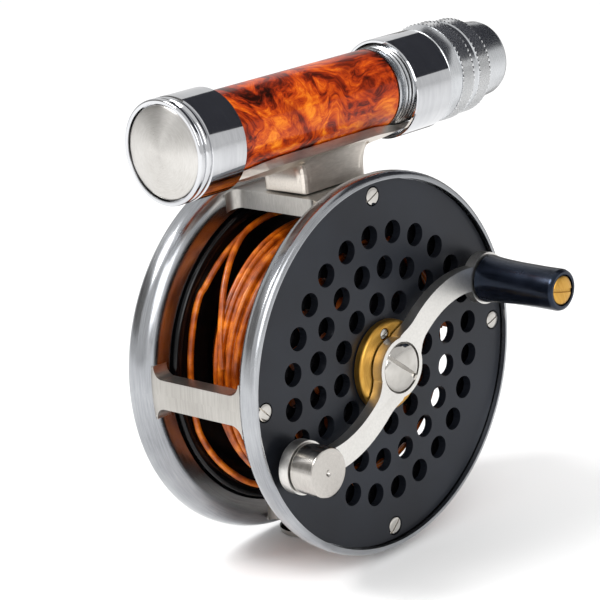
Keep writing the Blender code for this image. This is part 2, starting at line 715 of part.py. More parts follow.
def spool():
    front_back = FRONT_FLANGE_AT + FLANGE_THICKNESS
    lip_inner = SPOOL_RADIUS - FLANGE_LIP_WIDTH
    lip_front = REAR_FLANGE_AT - FLANGE_LIP_DEPTH
    pieces = [
        spool_flange(
            "spool_front_flange",
            tube_profile(SHAFT_BORE_RADIUS, SPOOL_RADIUS, FRONT_FLANGE_AT, front_back),
            (INNER_FLANGE_ROW, OUTER_FLANGE_ROW),
        ),
        spool_flange("spool_rear_flange", [
            (SPOOL_RADIUS, REAR_FLANGE_BACK),
            (SPOOL_RADIUS, lip_front + 0.5),
            (SPOOL_RADIUS - 0.5, lip_front),
            (lip_inner + 0.6, lip_front),
            (lip_inner, REAR_FLANGE_AT),
            (SHAFT_BORE_RADIUS, REAR_FLANGE_AT),
            (SHAFT_BORE_RADIUS, REAR_FLANGE_BACK),
        ], (INNER_FLANGE_ROW,)),
        turned("spool_arbor", GLOSS_BLACK, tube_profile(
            SHAFT_BORE_RADIUS, ARBOR_RADIUS, front_back + SEAT_GAP, REAR_FLANGE_AT - SEAT_GAP)),
    ]
    low = front_back + SEAT_GAP
    high = REAR_FLANGE_AT - SEAT_GAP
    edge = LINE_RADIUS - LINE_SLOPE
    crown = 1.0
    pieces.append(turned("line_winding", LINE, [
        (ARBOR_RADIUS + SEAT_GAP, high),
        (LINE_RADIUS - LINE_TAIL_DROP, high),
        (LINE_RADIUS - crown, high - LINE_TAIL_WIDTH + 1.6),
        (LINE_RADIUS, high - LINE_TAIL_WIDTH),
        (edge, low + LINE_EDGE_WIDTH),
        (edge - crown, low + LINE_EDGE_WIDTH - 1.6),
        (edge - LINE_EDGE_DROP, low),
        (ARBOR_RADIUS + SEAT_GAP, low),
    ], flats=48))
    return pieces


def spindle():
    """The shaft, with a square tang that the crank sits on and a tapped hole in that end."""
    tang_front = COUNTERBORE_FLOOR + 0.2
    tang_back = CRANK_BACK + 0.1
    rear = REAR_PLATE_AT + PLATE_THICKNESS + BUSH_FLANGE_THICKNESS - 0.9
    body = turned("spindle", STEEL, [
        (0.0, tang_back), (SPINDLE_RADIUS, tang_back), (SPINDLE_RADIUS, rear), (0.0, rear)])
    half = TANG_WIDTH / 2
    tang = boxes_cutter("tang_shape", [(reel(-half, tang_front, -half), reel(half, tang_back + 1, half))],
                        turn_about(reel(0, 0, 0), -CRANK_ANGLE))
    boolean(body, tang, "UNION")
    hole = (reel(0, tang_front - 1, 0), CRANK_SCREW_SHANK_RADIUS + SEAT_GAP, 9, "Y", 12)
    return boolean(body, pins_cutter("spindle_hole_cutter", [hole]))


def gear():
    """The click gear: pointed teeth round a thin wheel."""
    bm = bmesh.new()
    points = []
    for i in range(2 * GEAR_TEETH):
        radius = GEAR_RADIUS - (GEAR_TOOTH_DEPTH if i % 2 else 0)
        points.append(bm.verts.new(round_the_spool(radius, 180 * i / GEAR_TEETH, CLICK_AT) * MM))
    face = bm.faces.new(points)
    made = bmesh.ops.extrude_face_region(bm, geom=[face])["geom"]
    verts = [v for v in made if isinstance(v, bmesh.types.BMVert)]
    bmesh.ops.translate(bm, vec=(0, CLICK_THICKNESS * MM, 0), verts=verts)
    bmesh.ops.recalc_face_normals(bm, faces=bm.faces)
    body = keep(object_of("click_gear", bm), STEEL)
    bore = (reel(0, CLICK_AT - 1, 0), SHAFT_BORE_RADIUS, CLICK_THICKNESS + 2, "Y", SMALL_FLATS)
    return boolean(body, pins_cutter("click_gear_bore_cutter", [bore]))


# ---------------------------------------------------------------- the crank


def crank_place(throw, y):
    """A place on the crank's line, at a distance from the spool's axis, negative on the weight's side."""
    return round_the_spool(throw, CRANK_ANGLE, y)


def sweep_point(throw, t):
    """A point of the S of one arm, in the crank's own frame: x along its line, z across it."""
    handles = ((0.0, 0.0), (0.29 * throw, 0.19 * throw), (0.68 * throw, 0.26 * throw), (throw, 0.0))
    weights = ((1 - t) ** 3, 3 * t * (1 - t) ** 2, 3 * t * t * (1 - t), t ** 3)
    return Vector([sum(w * h[i] for w, h in zip(weights, handles)) for i in (0, 1)])


def arm_outline(throw, steps=12):
    """Both edges of one arm as points about its curved middle line."""
    left, right = [], []
    for i in range(steps + 1):
        t = i / steps
        ahead = sweep_point(throw, min(1, t + 0.01)) - sweep_point(throw, max(0, t - 0.01))
        across = Vector((-ahead.y, ahead.x)).normalized() * CRANK_ARM_WIDTH / 2
        left.append(sweep_point(throw, t) + across)
        right.append(sweep_point(throw, t) - across)
    return left + right[::-1]


def arm_shape(name, throw, half_turn):
    """One arm as a closed strip, turned half way round for the weight's side."""
    bm = bmesh.new()
    turn = Matrix.Rotation(math.radians(CRANK_ANGLE + (180 if half_turn else 0)), 2)
    verts = []
    for point in arm_outline(throw):
        x, z = turn @ point
        verts.append(bm.verts.new(reel(x, CRANK_FRONT + CRANK_ARM_RELIEF, z) * MM))
    face = bm.faces.new(verts)
    made = bmesh.ops.extrude_face_region(bm, geom=[face])["geom"]
    moved = [v for v in made if isinstance(v, bmesh.types.BMVert)]
    thick = CRANK_THICKNESS - 2 * CRANK_ARM_RELIEF
    bmesh.ops.translate(bm, vec=(0, thick * MM, 0), verts=moved)
    bmesh.ops.recalc_face_normals(bm, faces=bm.faces)
    return as_cutter(object_of(name, bm))


def crank():
    """The S of the crank. Its arms and end pads lie a little under the boss's two faces."""
    body = turned("crank_arm", SATIN_ALUMINIUM, [
        (0.0, CRANK_BACK), (CRANK_BOSS_RADIUS, CRANK_BACK),
        (CRANK_BOSS_RADIUS, CRANK_FRONT), (0.0, CRANK_FRONT),
    ])
    boolean(body, arm_shape("knob_arm_shape", KNOB_THROW, False), "UNION")
    boolean(body, arm_shape("weight_arm_shape", WEIGHT_THROW, True), "UNION")
    for name, throw in (("knob_end_shape", KNOB_THROW), ("weight_end_shape", -WEIGHT_THROW)):
        thick = CRANK_THICKNESS - CRANK_ARM_RELIEF
        pad = (crank_place(throw, CRANK_FRONT + CRANK_ARM_RELIEF / 2), CRANK_END_RADIUS, thick, "Y", 24)
        boolean(body, pins_cutter(name, [pad]), "UNION")
    low = CRANK_FRONT - 1
    holes = [(crank_place(throw, low), HANDLE_SHANK_RADIUS + SEAT_GAP, CRANK_THICKNESS + 2, "Y", SMALL_FLATS)
             for throw in (KNOB_THROW, -WEIGHT_THROW)]
    boolean(body, pins_cutter("crank_hole_cutter", holes))
    bore = (reel(0, low, 0), CRANK_SCREW_HEAD_RADIUS + SEAT_GAP, COUNTERBORE_DEPTH + 1, "Y", MIDDLE_FLATS)
    boolean(body, pins_cutter("crank_counterbore_cutter", [bore]))
    half = TANG_WIDTH / 2 + SEAT_GAP
    square = (reel(-half, low, -half), reel(half, CRANK_BACK + 1, half))
    return boolean(body, boxes_cutter("crank_square_cutter", [square], turn_about(reel(0, 0, 0), -CRANK_ANGLE)))


def crank_fittings():
    """What is fixed to the crank: its screw, the weight and the screw that the knob turns on."""
    head = (CRANK_SCREW_HEAD_RADIUS, COUNTERBORE_DEPTH - SEAT_GAP)
    shank = (CRANK_SCREW_SHANK_RADIUS, 7.0)
    pieces = [slotted_screw("crank_screw", STEEL, reel(0, CRANK_FRONT, 0), head, shank, -1, -38, MIDDLE_FLATS)]
    top = CRANK_FRONT - SEAT_GAP
    spigot_end = CRANK_BACK - 0.4
    dimple = 0.5
    place = crank_place(-WEIGHT_THROW, 0)
    pieces.append(turned("counterweight", POLISHED_SILVER, [
        (0.0, top - WEIGHT_HEIGHT + dimple),
        (1.0, top - WEIGHT_HEIGHT),
        (WEIGHT_RADIUS - 0.3, top - WEIGHT_HEIGHT),
        (WEIGHT_RADIUS, top - WEIGHT_HEIGHT + 0.3),
        (WEIGHT_RADIUS, top),
        (HANDLE_SHANK_RADIUS, top),
        (HANDLE_SHANK_RADIUS, spigot_end),
        (0.0, spigot_end),
    ], place=place))
    outer = top - KNOB_LENGTH - 0.2
    head = (HANDLE_HEAD_RADIUS, HANDLE_HEAD_THICKNESS)
    shank = (HANDLE_SHANK_RADIUS, spigot_end - outer - HANDLE_HEAD_THICKNESS)
    place = crank_place(KNOB_THROW, outer)
    pieces.append(slotted_screw("handle_screw", BRASS, place, head, shank, -1, -12, 24))
    return pieces


def knob():
    base = CRANK_FRONT - SEAT_GAP
    end = base - KNOB_LENGTH
    bore = HANDLE_SHANK_RADIUS + RUNNING_GAP
    recess = HANDLE_HEAD_RADIUS + RUNNING_GAP
    floor = end - 0.2 + HANDLE_HEAD_THICKNESS + RUNNING_GAP
    return turned("handle_knob", EBONITE, [
        (bore, base),
        (KNOB_BASE_RADIUS, base),
        (KNOB_BASE_RADIUS - 0.15, base - 1.0),
        (KNOB_WAIST_RADIUS, base - 4.5),
        (KNOB_END_RADIUS, end + 5.0),
        (KNOB_END_RADIUS, end + KNOB_CHAMFER),
        (KNOB_END_RADIUS - KNOB_CHAMFER * 0.8, end),
        (recess, end),
        (recess, floor),
        (bore, floor),
    ], place=crank_place(KNOB_THROW, 0))


# ---------------------------------------------------------------- the click


def click_posts():
    """Where the pawl's post and the spring's two posts stand, as (place, radius)."""
    places = [round_the_spool(PAWL_CIRCLE, PAWL_ANGLE, 0)]
    for side in (-1, 1):
        places.append(round_the_spool(SPRING_POST_CIRCLE, PAWL_ANGLE + side * SPRING_POST_SPREAD, 0))
    return [(place, POST_RADIUS) for place in places]


def click():
    top = CLICK_AT - 0.2
    root = REAR_PLATE_AT + PLATE_THICKNESS - 0.2
    names = ("pawl_post", "spring_post_1", "spring_post_2")
    for name, (place, radius) in zip(names, click_posts()):
        turned(name, STEEL, [(0.0, top), (radius, top), (radius, root), (0.0, root)], place=place, flats=12)
    chord = SPRING_POST_CIRCLE * math.cos(math.radians(SPRING_POST_SPREAD))
    inner = chord - POST_RADIUS - SEAT_GAP - SPRING_THICKNESS
    half = SPRING_POST_CIRCLE * math.sin(math.radians(SPRING_POST_SPREAD)) + 2
    bm = bmesh.new()
    add_box(bm, reel(inner, CLICK_AT, -half), reel(inner + SPRING_THICKNESS, CLICK_AT + CLICK_THICKNESS, half))
    bmesh.ops.transform(bm, matrix=turn_about(reel(0, 0, 0), -PAWL_ANGLE), verts=bm.verts)
    keep(object_of("pawl_spring", bm), STEEL)
    return inner


def pawl(spring_at):
    """A pointed pawl that stops just clear of the gear's teeth, with a flat tail that the spring bears on."""
    tip = GEAR_RADIUS + RUNNING_GAP - PAWL_CIRCLE
    tail = spring_at - SEAT_GAP - PAWL_CIRCLE
    width = PAWL_HUB_RADIUS
    outline = [(tip, 0.0), (tip + 2.2, 1.0), (-width, width * 0.95), (tail, width), (tail, -width),
               (-width, -width * 0.95), (tip + 2.2, -1.0)]
    bm = bmesh.new()
    turn = Matrix.Rotation(math.radians(PAWL_ANGLE), 2)
    verts = []
    for x, z in outline:
        point = turn @ Vector((PAWL_CIRCLE + x, z))
        verts.append(bm.verts.new(reel(point.x, CLICK_AT, point.y) * MM))
    face = bm.faces.new(verts)
    made = bmesh.ops.extrude_face_region(bm, geom=[face])["geom"]
    moved = [v for v in made if isinstance(v, bmesh.types.BMVert)]
    bmesh.ops.translate(bm, vec=(0, CLICK_THICKNESS * MM, 0), verts=moved)
    bmesh.ops.recalc_face_normals(bm, faces=bm.faces)
    body = keep(object_of("click_pawl", bm), BRASS)
    place = round_the_spool(PAWL_CIRCLE, PAWL_ANGLE, CLICK_AT - 1)
    hole = (place, POST_RADIUS + RUNNING_GAP, CLICK_THICKNESS + 2, "Y", 12)
    return boolean(body, pins_cutter("click_pawl_hole_cutter", [hole]))


# ---------------------------------------------------------------- the foot and the rest stud


def foot_screw_xs():
    return (-FOOT_SCREW_SPREAD / 2, FOOT_SCREW_SPREAD / 2)


def ease(t):
    t = max(0.0, min(1.0, t))
    return t * t * (3 - 2 * t)


def loft(bm, rows):
    """Skins closed sections of equal count, one after another, and caps both ends."""
    rings = [[bm.verts.new(point * MM) for point in row] for row in rows]
    for near, far in zip(rings, rings[1:]):
        count = len(near)
        for i in range(count):
            j = (i + 1) % count
            bm.faces.new((near[i], near[j], far[j], far[i]))
    bm.faces.new(rings[0][::-1])
    bm.faces.new(rings[-1])
    bmesh.ops.recalc_face_normals(bm, faces=bm.faces)


def saddle_rows():
    """Sections of the saddle from its back tip to its front tip, thinner and narrower towards each."""
    inner = WOOD_RADIUS + SEAT_GAP
    rows = []
    steps = 16
    for i in range(steps + 1):
        x = FOOT_BACK + (FOOT_FRONT - FOOT_BACK) * i / steps
        back = ease((x - FOOT_BACK) / 20)
        front = ease((FOOT_FRONT - x) / 16)
        full = min(back, front)
        spread = FOOT_TIP_HALF_ANGLE + (FOOT_HALF_ANGLE - FOOT_TIP_HALF_ANGLE) * full
        outer = inner + FOOT_TIP_THICKNESS + (FOOT_THICKNESS - FOOT_TIP_THICKNESS) * full
        row = []
        for radius, direction in ((outer, 1), (inner, -1)):
            for k in range(7):
                turn = math.radians(direction * spread * (k / 3 - 1))
                across = FOOT_MIDDLE + radius * math.sin(turn)
                row.append(reel(x, across, SEAT_HEIGHT - radius * math.cos(turn)))
        rows.append(row)
    return rows


def pedestal_rows():
    """Rounded-rectangle sections of the block between the frame's flat and the saddle, flared at its top."""
    low = TOP_FLAT_HEIGHT + SEAT_GAP
    inner = WOOD_RADIUS + SEAT_GAP
    high = SEAT_HEIGHT - inner - 0.2
    rows = []
    for t in (0.0, 0.35, 0.6, 0.8, 0.92, 1.0):
        grow = PEDESTAL_FLARE * (1 - math.sqrt(max(0.0, 1 - max(0.0, (t - 0.35) / 0.65) ** 2)))
        half_x = PEDESTAL_LENGTH / 2 + grow
        half_y = PEDESTAL_WIDTH / 2 + grow / 3
        corner = 0.8
        row = []
        for sx, sy, start in ((1, 1, 0), (-1, 1, 90), (-1, -1, 180), (1, -1, 270)):
            for degrees in (start, start + 45, start + 90):
                turn = math.radians(degrees)
                x = sx * (half_x - corner) + corner * math.cos(turn)
                y = FOOT_MIDDLE + sy * (half_y - corner) + corner * math.sin(turn)
                row.append(reel(x, y, low + (high - low) * t))
        rows.append(row)
    return rows


def foot():
    bm = bmesh.new()
    loft(bm, saddle_rows())
    body = keep(object_of("reel_foot", bm), SATIN_ALUMINIUM)
    bm = bmesh.new()
    loft(bm, pedestal_rows())
    boolean(body, as_cutter(object_of("pedestal_shape", bm)), "UNION")
    low = TOP_FLAT_HEIGHT - 1
    holes = [(reel(x, FOOT_MIDDLE, low), FOOT_SCREW_SHANK_RADIUS + SEAT_GAP, FOOT_SCREW_REACH + 1.8, "Z", 12)
             for x in foot_screw_xs()]
    boolean(body, pins_cutter("foot_hole_cutter", holes))
    for index, x in enumerate(foot_screw_xs(), 1):
        top = TOP_FLAT_HEIGHT + SEAT_GAP + FOOT_SCREW_REACH
        under = math.sqrt(BAND_INNER_RADIUS**2 - (abs(x) + FOOT_SCREW_HEAD_RADIUS) ** 2) - SEAT_GAP
        low = under - FOOT_SCREW_HEAD_THICKNESS
        turned(f"foot_screw_{index}", STEEL, [
            (0.0, low), (FOOT_SCREW_HEAD_RADIUS, low), (FOOT_SCREW_HEAD_RADIUS, under),
            (FOOT_SCREW_SHANK_RADIUS, under), (FOOT_SCREW_SHANK_RADIUS, top), (0.0, top),
        ], "Z", reel(x, FOOT_MIDDLE, 0), SMALL_FLATS)
    return body


def rest_stud():
    disc_top = -RING_RADIUS - SEAT_GAP
    disc_low = disc_top - STUD_THICKNESS
    neck_top = -BAND_OUTER_RADIUS - SEAT_GAP
    edge = 0.6
    return turned("rest_stud", STEEL, [
        (0.0, -BAND_INNER_RADIUS - 1), (STUD_STEM_RADIUS, -BAND_INNER_RADIUS - 1), (STUD_STEM_RADIUS, neck_top),
        (STUD_NECK_RADIUS, neck_top), (STUD_NECK_RADIUS, disc_top), (STUD_RADIUS, disc_top),
        (STUD_RADIUS, disc_low + edge), (STUD_RADIUS - edge, disc_low), (0.0, disc_low),
    ], "Z", reel(0, STUD_AT, 0), 24)


# ---------------------------------------------------------------- the seat


def seat_barrel():
    """The threaded barrel with the sleeve that runs back under the wood, bored for the rod blank."""
    collar_seat = WOOD_FRONT + SEAT_GAP
    groove = collar_seat + 0.6
    return turned("seat_barrel", POLISHED_SILVER, [
        (SOCKET_RADIUS, SEAT_BACK), (SLEEVE_RADIUS, SEAT_BACK), (SLEEVE_RADIUS, collar_seat),
        (WOOD_RADIUS, collar_seat), (WOOD_RADIUS, groove), (THREAD_RADIUS - 0.7, groove),
        (THREAD_RADIUS - 0.7, groove + 0.5), (THREAD_RADIUS, groove + 0.8),
        (THREAD_RADIUS, THREAD_END - 0.6), (THREAD_RADIUS - 0.6, THREAD_END),
        (SLEEVE_RADIUS, THREAD_END), (SLEEVE_RADIUS, BARREL_END), (SOCKET_RADIUS, BARREL_END),
    ], "X", seat(0))


def wood_insert():
    inner = SLEEVE_RADIUS + SEAT_GAP
    return turned("wood_insert", BURL, tube_profile(inner, WOOD_RADIUS, SEAT_BACK, WOOD_FRONT), "X", seat(0))


def butt_cap():
    """The closed cap whose open side is the fixed hood over the back of the foot."""
    edge = 0.5
    bead = 1.1
    spigot = SOCKET_RADIUS - SEAT_GAP
    floor = CAP_END + CAP_FLOOR
    plate_floor = CAP_END + CAP_PLATE_SINK
    turned("butt_cap", POLISHED_SILVER, [
        (0.0, plate_floor),
        (CAP_PLATE_RADIUS + SEAT_GAP, plate_floor),
        (CAP_PLATE_RADIUS + SEAT_GAP, CAP_END),
        (HOOD_RADIUS - edge, CAP_END),
        (HOOD_RADIUS, CAP_END + edge),
        (HOOD_RADIUS, CAP_END + bead),
        (HOOD_RADIUS - 0.35, CAP_END + bead + 0.3),
        (HOOD_RADIUS - 0.35, CAP_END + bead + 0.7),
        (HOOD_RADIUS, CAP_END + bead + 1.0),
        (HOOD_RADIUS, CAP_RIM - 0.2),
        (HOOD_RADIUS - 0.2, CAP_RIM),
        (CAP_BORE_RADIUS, CAP_RIM),
        (CAP_BORE_RADIUS, floor),
        (spigot - HOOD_DROP, floor),
        (spigot - HOOD_DROP, floor + SPIGOT_LENGTH),
        (0.0, floor + SPIGOT_LENGTH),
    ], "X", seat(0, HOOD_DROP))
    sink = plate_floor - SEAT_GAP
    dome = arc((0.0, CAP_END - 0.1), (CAP_PLATE_RADIUS, CAP_PLATE_DOME), -90, 0, 4)
    turned("butt_plate", SATIN_ALUMINIUM, dome + [(CAP_PLATE_RADIUS, sink), (0.0, sink)], "X", seat(0, HOOD_DROP))


def sliding_hood():
    lip = THREAD_RADIUS + RUNNING_GAP + HOOD_DROP
    edge = 0.3
    return turned("sliding_hood", POLISHED_SILVER, [
        (CAP_BORE_RADIUS, HOOD_MOUTH), (HOOD_RADIUS - edge, HOOD_MOUTH), (HOOD_RADIUS, HOOD_MOUTH + edge),
        (HOOD_RADIUS, HOOD_BACK - edge), (HOOD_RADIUS - edge, HOOD_BACK), (lip, HOOD_BACK),
        (lip, HOOD_BACK - HOOD_LIP), (CAP_BORE_RADIUS, HOOD_BACK - HOOD_LIP),
    ], "X", seat(0, HOOD_DROP))


def lock_nut():
    """The nut with two gripping bands and a nose that runs out over the barrel's plain end."""
    first = NUT_BORE_RADIUS + NUT_WALL
    second = first - NUT_BAND_STEP
    edge = 0.3
    groove_at = NUT_BANDS_FROM + NUT_BAND_WIDTHS[0]
    second_at = groove_at + NUT_GROOVE_WIDTH
    nose_at = second_at + NUT_BAND_WIDTHS[1]
    nose, tip = (NOSE_BORE_RADIUS + wall for wall in NOSE_WALLS)
    neck_end = NUT_AT + 0.6
    rise, run = first - edge - NUT_NECK_RADIUS, NUT_BANDS_FROM - neck_end
    flare = [(NUT_NECK_RADIUS + rise * t * t, neck_end + run * t) for t in (0.0, 0.5, 0.8, 1.0)]
    return turned("lock_nut", POLISHED_SILVER, [
        (NUT_BORE_RADIUS, NUT_AT), (NUT_NECK_RADIUS, NUT_AT), *flare,
        (first, NUT_BANDS_FROM + edge), (first, groove_at - edge), (first - edge, groove_at),
        (NUT_NECK_RADIUS, groove_at), (NUT_NECK_RADIUS, second_at),
        (second - edge, second_at), (second, second_at + edge),
        (second, nose_at - edge), (second - edge, nose_at),
        (nose, nose_at), (tip, NUT_END - 0.8), (tip - 0.6, NUT_END),
        (NOSE_BORE_RADIUS, NUT_END), (NOSE_BORE_RADIUS, THREAD_END + SEAT_GAP),
        (NUT_BORE_RADIUS, THREAD_END + SEAT_GAP),
    ], "X", seat(0))


# ---------------------------------------------------------------- the whole


def shade(obj):
    """Keeps the finished shape as the object's own mesh, smooth but for its sharp edges."""
    graph = bpy.context.evaluated_depsgraph_get()
    mesh = bpy.data.meshes.new_from_object(obj.evaluated_get(graph))
    mesh.name = obj.name
    obj.modifiers.clear()
    obj.data = mesh
    mesh.shade_smooth()
    mesh.set_sharp_from_angle(angle=math.radians(32))


def build():
    cage()
    posts = click_posts()
    plate("front_plate", 0.0, PLATE_THICKNESS, -1)
    plate("rear_plate", REAR_PLATE_AT + PLATE_THICKNESS, REAR_PLATE_AT, 1, posts)
    plate_screws("front", 0.0, -1)
    plate_screws("rear", REAR_PLATE_AT + PLATE_THICKNESS, 1)
    front_bush()
    rear_bush()
    foot()
    rest_stud()
    spring_at = click()
    seat_barrel()
    wood_insert()
    butt_cap()

    on_spool = [*spool(), spindle(), gear(), crank(), *crank_fittings()]
    spool_axis = hinge_empty("spool_axis", reel(0, 0, 0))
    hang(on_spool, spool_axis)
    knob_axis = hinge_empty("knob_axis", crank_place(KNOB_THROW, 0))
    hang([knob()], knob_axis)
    hang([knob_axis], spool_axis)
    hang([pawl(spring_at)], hinge_empty("pawl_axis", round_the_spool(PAWL_CIRCLE, PAWL_ANGLE, 0)))
    hood_slide = hinge_empty("hood_slide", seat(HOOD_MOUTH))
    hang([sliding_hood()], hood_slide)
    nut_axis = hinge_empty("nut_axis", seat(NUT_AT))
    hang([lock_nut()], nut_axis)
    hang([nut_axis], hood_slide)

    bpy.context.view_layer.update()
    for obj in list(PARTS.objects):
        if obj.type == "MESH":
            shade(obj)


build()
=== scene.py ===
"""Looks for a single-action fly reel on its reel seat: finer shapes over the frame, finishes and light.

Places on the reel are in millimetres from the middle of the crank-side plate, with the spool's axis along Y.
"""

import math
import random

import bpy
from mathutils import Matrix, Vector


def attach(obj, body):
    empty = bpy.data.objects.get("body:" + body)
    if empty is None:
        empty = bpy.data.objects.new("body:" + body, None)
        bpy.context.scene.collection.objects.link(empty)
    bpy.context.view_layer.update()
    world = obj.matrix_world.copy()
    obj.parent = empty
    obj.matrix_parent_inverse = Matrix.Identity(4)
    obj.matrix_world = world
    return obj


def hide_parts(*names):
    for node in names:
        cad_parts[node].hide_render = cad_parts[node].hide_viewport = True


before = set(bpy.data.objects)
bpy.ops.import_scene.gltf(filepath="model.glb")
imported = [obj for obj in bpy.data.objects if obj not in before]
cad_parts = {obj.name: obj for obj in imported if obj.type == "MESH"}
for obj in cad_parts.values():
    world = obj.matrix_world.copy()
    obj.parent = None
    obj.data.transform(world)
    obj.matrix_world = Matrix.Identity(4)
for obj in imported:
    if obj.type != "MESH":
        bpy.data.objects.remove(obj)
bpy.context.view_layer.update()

MM = 0.001
SEAT_Y, SEAT_Z, ORIGIN_X = 15.0, 50.6, 53.4
FINE, MIDDLE, SMALL = 128, 72, 32

# Sizes and places that several pieces share, in mm and degrees.
PLATE_THICKNESS = 1.8
RIM_SCREW_CIRCLE = 34.2
RIM_SCREW_PLACES = (0, 90, 180, 270)
BUSH_SCREW_CIRCLE = 7.1
BUSH_SCREW_PLACES = (103.0, 223.0, 343.0)
CRANK_TURN = 22.0
CRANK_BACK, CRANK_FRONT = -2.4, -4.7
KNOB_THROW, WEIGHT_THROW = 30.0, 31.3
CAP_DROP = 0.6
SADDLE_RADIUS = 9.95
FLOOR_HEIGHT = -40.3


def reel(x, y, z):
    """A place on the reel, in the row frame's metres."""
    return Vector((x - ORIGIN_X, y - SEAT_Y, z - SEAT_Z)) * MM


def on_circle(radius, degrees, y=0.0):
    turn = math.radians(degrees)
    return reel(radius * math.cos(turn), y, radius * math.sin(turn))


# ---------------------------------------------------------------- modelling


ALONG = {"X": Vector((1, 0, 0)), "Y": Vector((0, 1, 0)), "Z": Vector((0, 0, 1))}
TILT = {"X": (0, math.pi / 2, 0), "Y": (-math.pi / 2, 0, 0), "Z": (0, 0, 0)}
SPOOL_AXIS = reel(0, 0, 0)
SEAT_AXIS = reel(0, SEAT_Y, SEAT_Z)
CAP_AXIS = reel(0, SEAT_Y, SEAT_Z - CAP_DROP)


def deselect():
    if bpy.context.mode != "OBJECT":
        bpy.ops.object.mode_set(mode="OBJECT")
    bpy.ops.object.select_all(action="DESELECT")


def pick(piece):
    deselect()
    piece.select_set(True)
    bpy.context.view_layer.objects.active = piece


def settle(piece):
    """Puts the piece's place into its mesh, so that its object sits at the origin."""
    pick(piece)
    bpy.ops.object.transform_apply(location=True, rotation=True, scale=True)
    return piece


def turned(name, rings, axis="Y", centre=None, segments=MIDDLE, tube=False):
    """Extrudes and scales a circle from ring to ring, each (radius, height) in mm, then closes it.

    A tube joins its last ring to its first, and a solid caps both.
    """
    centre = SPOOL_AXIS if centre is None else centre
    deselect()
    along = ALONG[axis] * MM
    radius, height = rings[0]
    bpy.ops.mesh.primitive_circle_add(
        vertices=segments, radius=radius * MM, location=centre + along * height, rotation=TILT[axis])
    piece = bpy.context.active_object
    piece.name = name
    bpy.ops.object.mode_set(mode="EDIT")
    bpy.ops.mesh.select_all(action="SELECT")
    for next_radius, next_height in rings[1:]:
        step = along * (next_height - height)
        bpy.ops.mesh.extrude_region_move(TRANSFORM_OT_translate={"value": step})
        bpy.ops.transform.resize(value=(next_radius / radius,) * 3,
                                 center_override=centre + along * next_height)
        radius, height = next_radius, next_height
    bpy.ops.mesh.select_all(action="DESELECT")
    bpy.ops.mesh.select_mode(type="EDGE")
    bpy.ops.mesh.select_non_manifold()
    if tube:
        bpy.ops.mesh.bridge_edge_loops()
    else:
        bpy.ops.mesh.fill_holes(sides=0)
    bpy.ops.mesh.select_all(action="SELECT")
    bpy.ops.mesh.normals_make_consistent(inside=False)
    return settle(piece)


def arc(radius, height, across, up, start, end, steps=6):
    """Points of a rounded corner in a profile."""
    turns = [math.radians(start + (end - start) * i / steps) for i in range(steps + 1)]
    return [(radius + across * math.cos(t), height + up * math.sin(t)) for t in turns]


def rounded(piece, width, segments=3, angle=35):
    """Breaks the sharp edges, as a file or a tumbler does."""
    pick(piece)
    bevel = piece.modifiers.new("edge", "BEVEL")
    bevel.width = width * MM
    bevel.segments = segments
    bevel.limit_method = "ANGLE"
    bevel.angle_limit = math.radians(angle)
    bevel.miter_outer = "MITER_ARC"
    bpy.ops.object.modifier_apply(modifier=bevel.name)
    return piece


def joined(pieces):
    deselect()
    for piece in pieces:
        piece.select_set(True)
    bpy.context.view_layer.objects.active = pieces[0]
    bpy.ops.object.join()
    return settle(bpy.context.active_object)


def pin(place, radius, length, axis="Y", segments=28):
    """A plain pin that starts at a place, for cutting a hole or joining on."""
    deselect()
    middle = place + ALONG[axis] * length * MM / 2
    bpy.ops.mesh.primitive_cylinder_add(
        vertices=segments, radius=radius * MM, depth=length * MM, location=middle, rotation=TILT[axis])
    return settle(bpy.context.active_object)


def block(low, high, turn=None):
    deselect()
    bpy.ops.mesh.primitive_cube_add(size=1, location=(low + high) / 2)
    piece = bpy.context.active_object
    piece.scale = high - low
    settle(piece)
    if turn:
        piece.data.transform(turn)
    return piece


def combined(piece, other, operation="DIFFERENCE"):
    pick(piece)
    boolean = piece.modifiers.new(operation.lower(), "BOOLEAN")
    boolean.operation = operation
    boolean.object = other
    boolean.solver = "EXACT"
    bpy.ops.object.modifier_apply(modifier=boolean.name)
    bpy.data.objects.remove(other, do_unlink=True)
    return piece


def turn_about(place, degrees, axis="Y"):
    there = Matrix.Translation(place)
    return there @ Matrix.Rotation(math.radians(degrees), 4, axis) @ there.inverted()


def finished(piece, body, finish, slot, *nodes, smooth=30, weigh=True):
    """Shades the piece, gives it its finish and ties it to the frame."""
    pick(piece)
    bpy.ops.object.shade_smooth_by_angle(angle=math.radians(smooth))
    if weigh:
        normals = piece.modifiers.new("flat_faces_stay_flat", "WEIGHTED_NORMAL")
        normals.weight = 100
        normals.keep_sharp = True
        bpy.ops.object.modifier_apply(modifier=normals.name)
    piece.data.materials.clear()
    piece.data.materials.append(finish)
    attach(piece, body)
    if nodes:
        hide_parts(*nodes)
    return piece


# ---------------------------------------------------------------- materials


def linear(code):
    """An sRGB hex colour as linear RGBA."""
    parts = [int(code[i : i + 2], 16) / 255 for i in (1, 3, 5)]
    return (*[p / 12.92 if p <= 0.04045 else ((p + 0.055) / 1.055) ** 2.4 for p in parts], 1.0)


def material(name):
    made = bpy.data.materials.new(name)
    made.use_nodes = True
    return made, made.node_tree, made.node_tree.nodes["Principled BSDF"]


def add(tree, kind, inputs=None, **settings):
    """Adds a node. An input takes a value, or a socket to link from."""
    made = tree.nodes.new("ShaderNode" + kind)
    for key, value in settings.items():
        setattr(made, key, value)
    for key, value in (inputs or {}).items():
        if isinstance(value, bpy.types.NodeSocket):
            tree.links.new(value, made.inputs[key])
        else:
            made.inputs[key].default_value = value
    return made


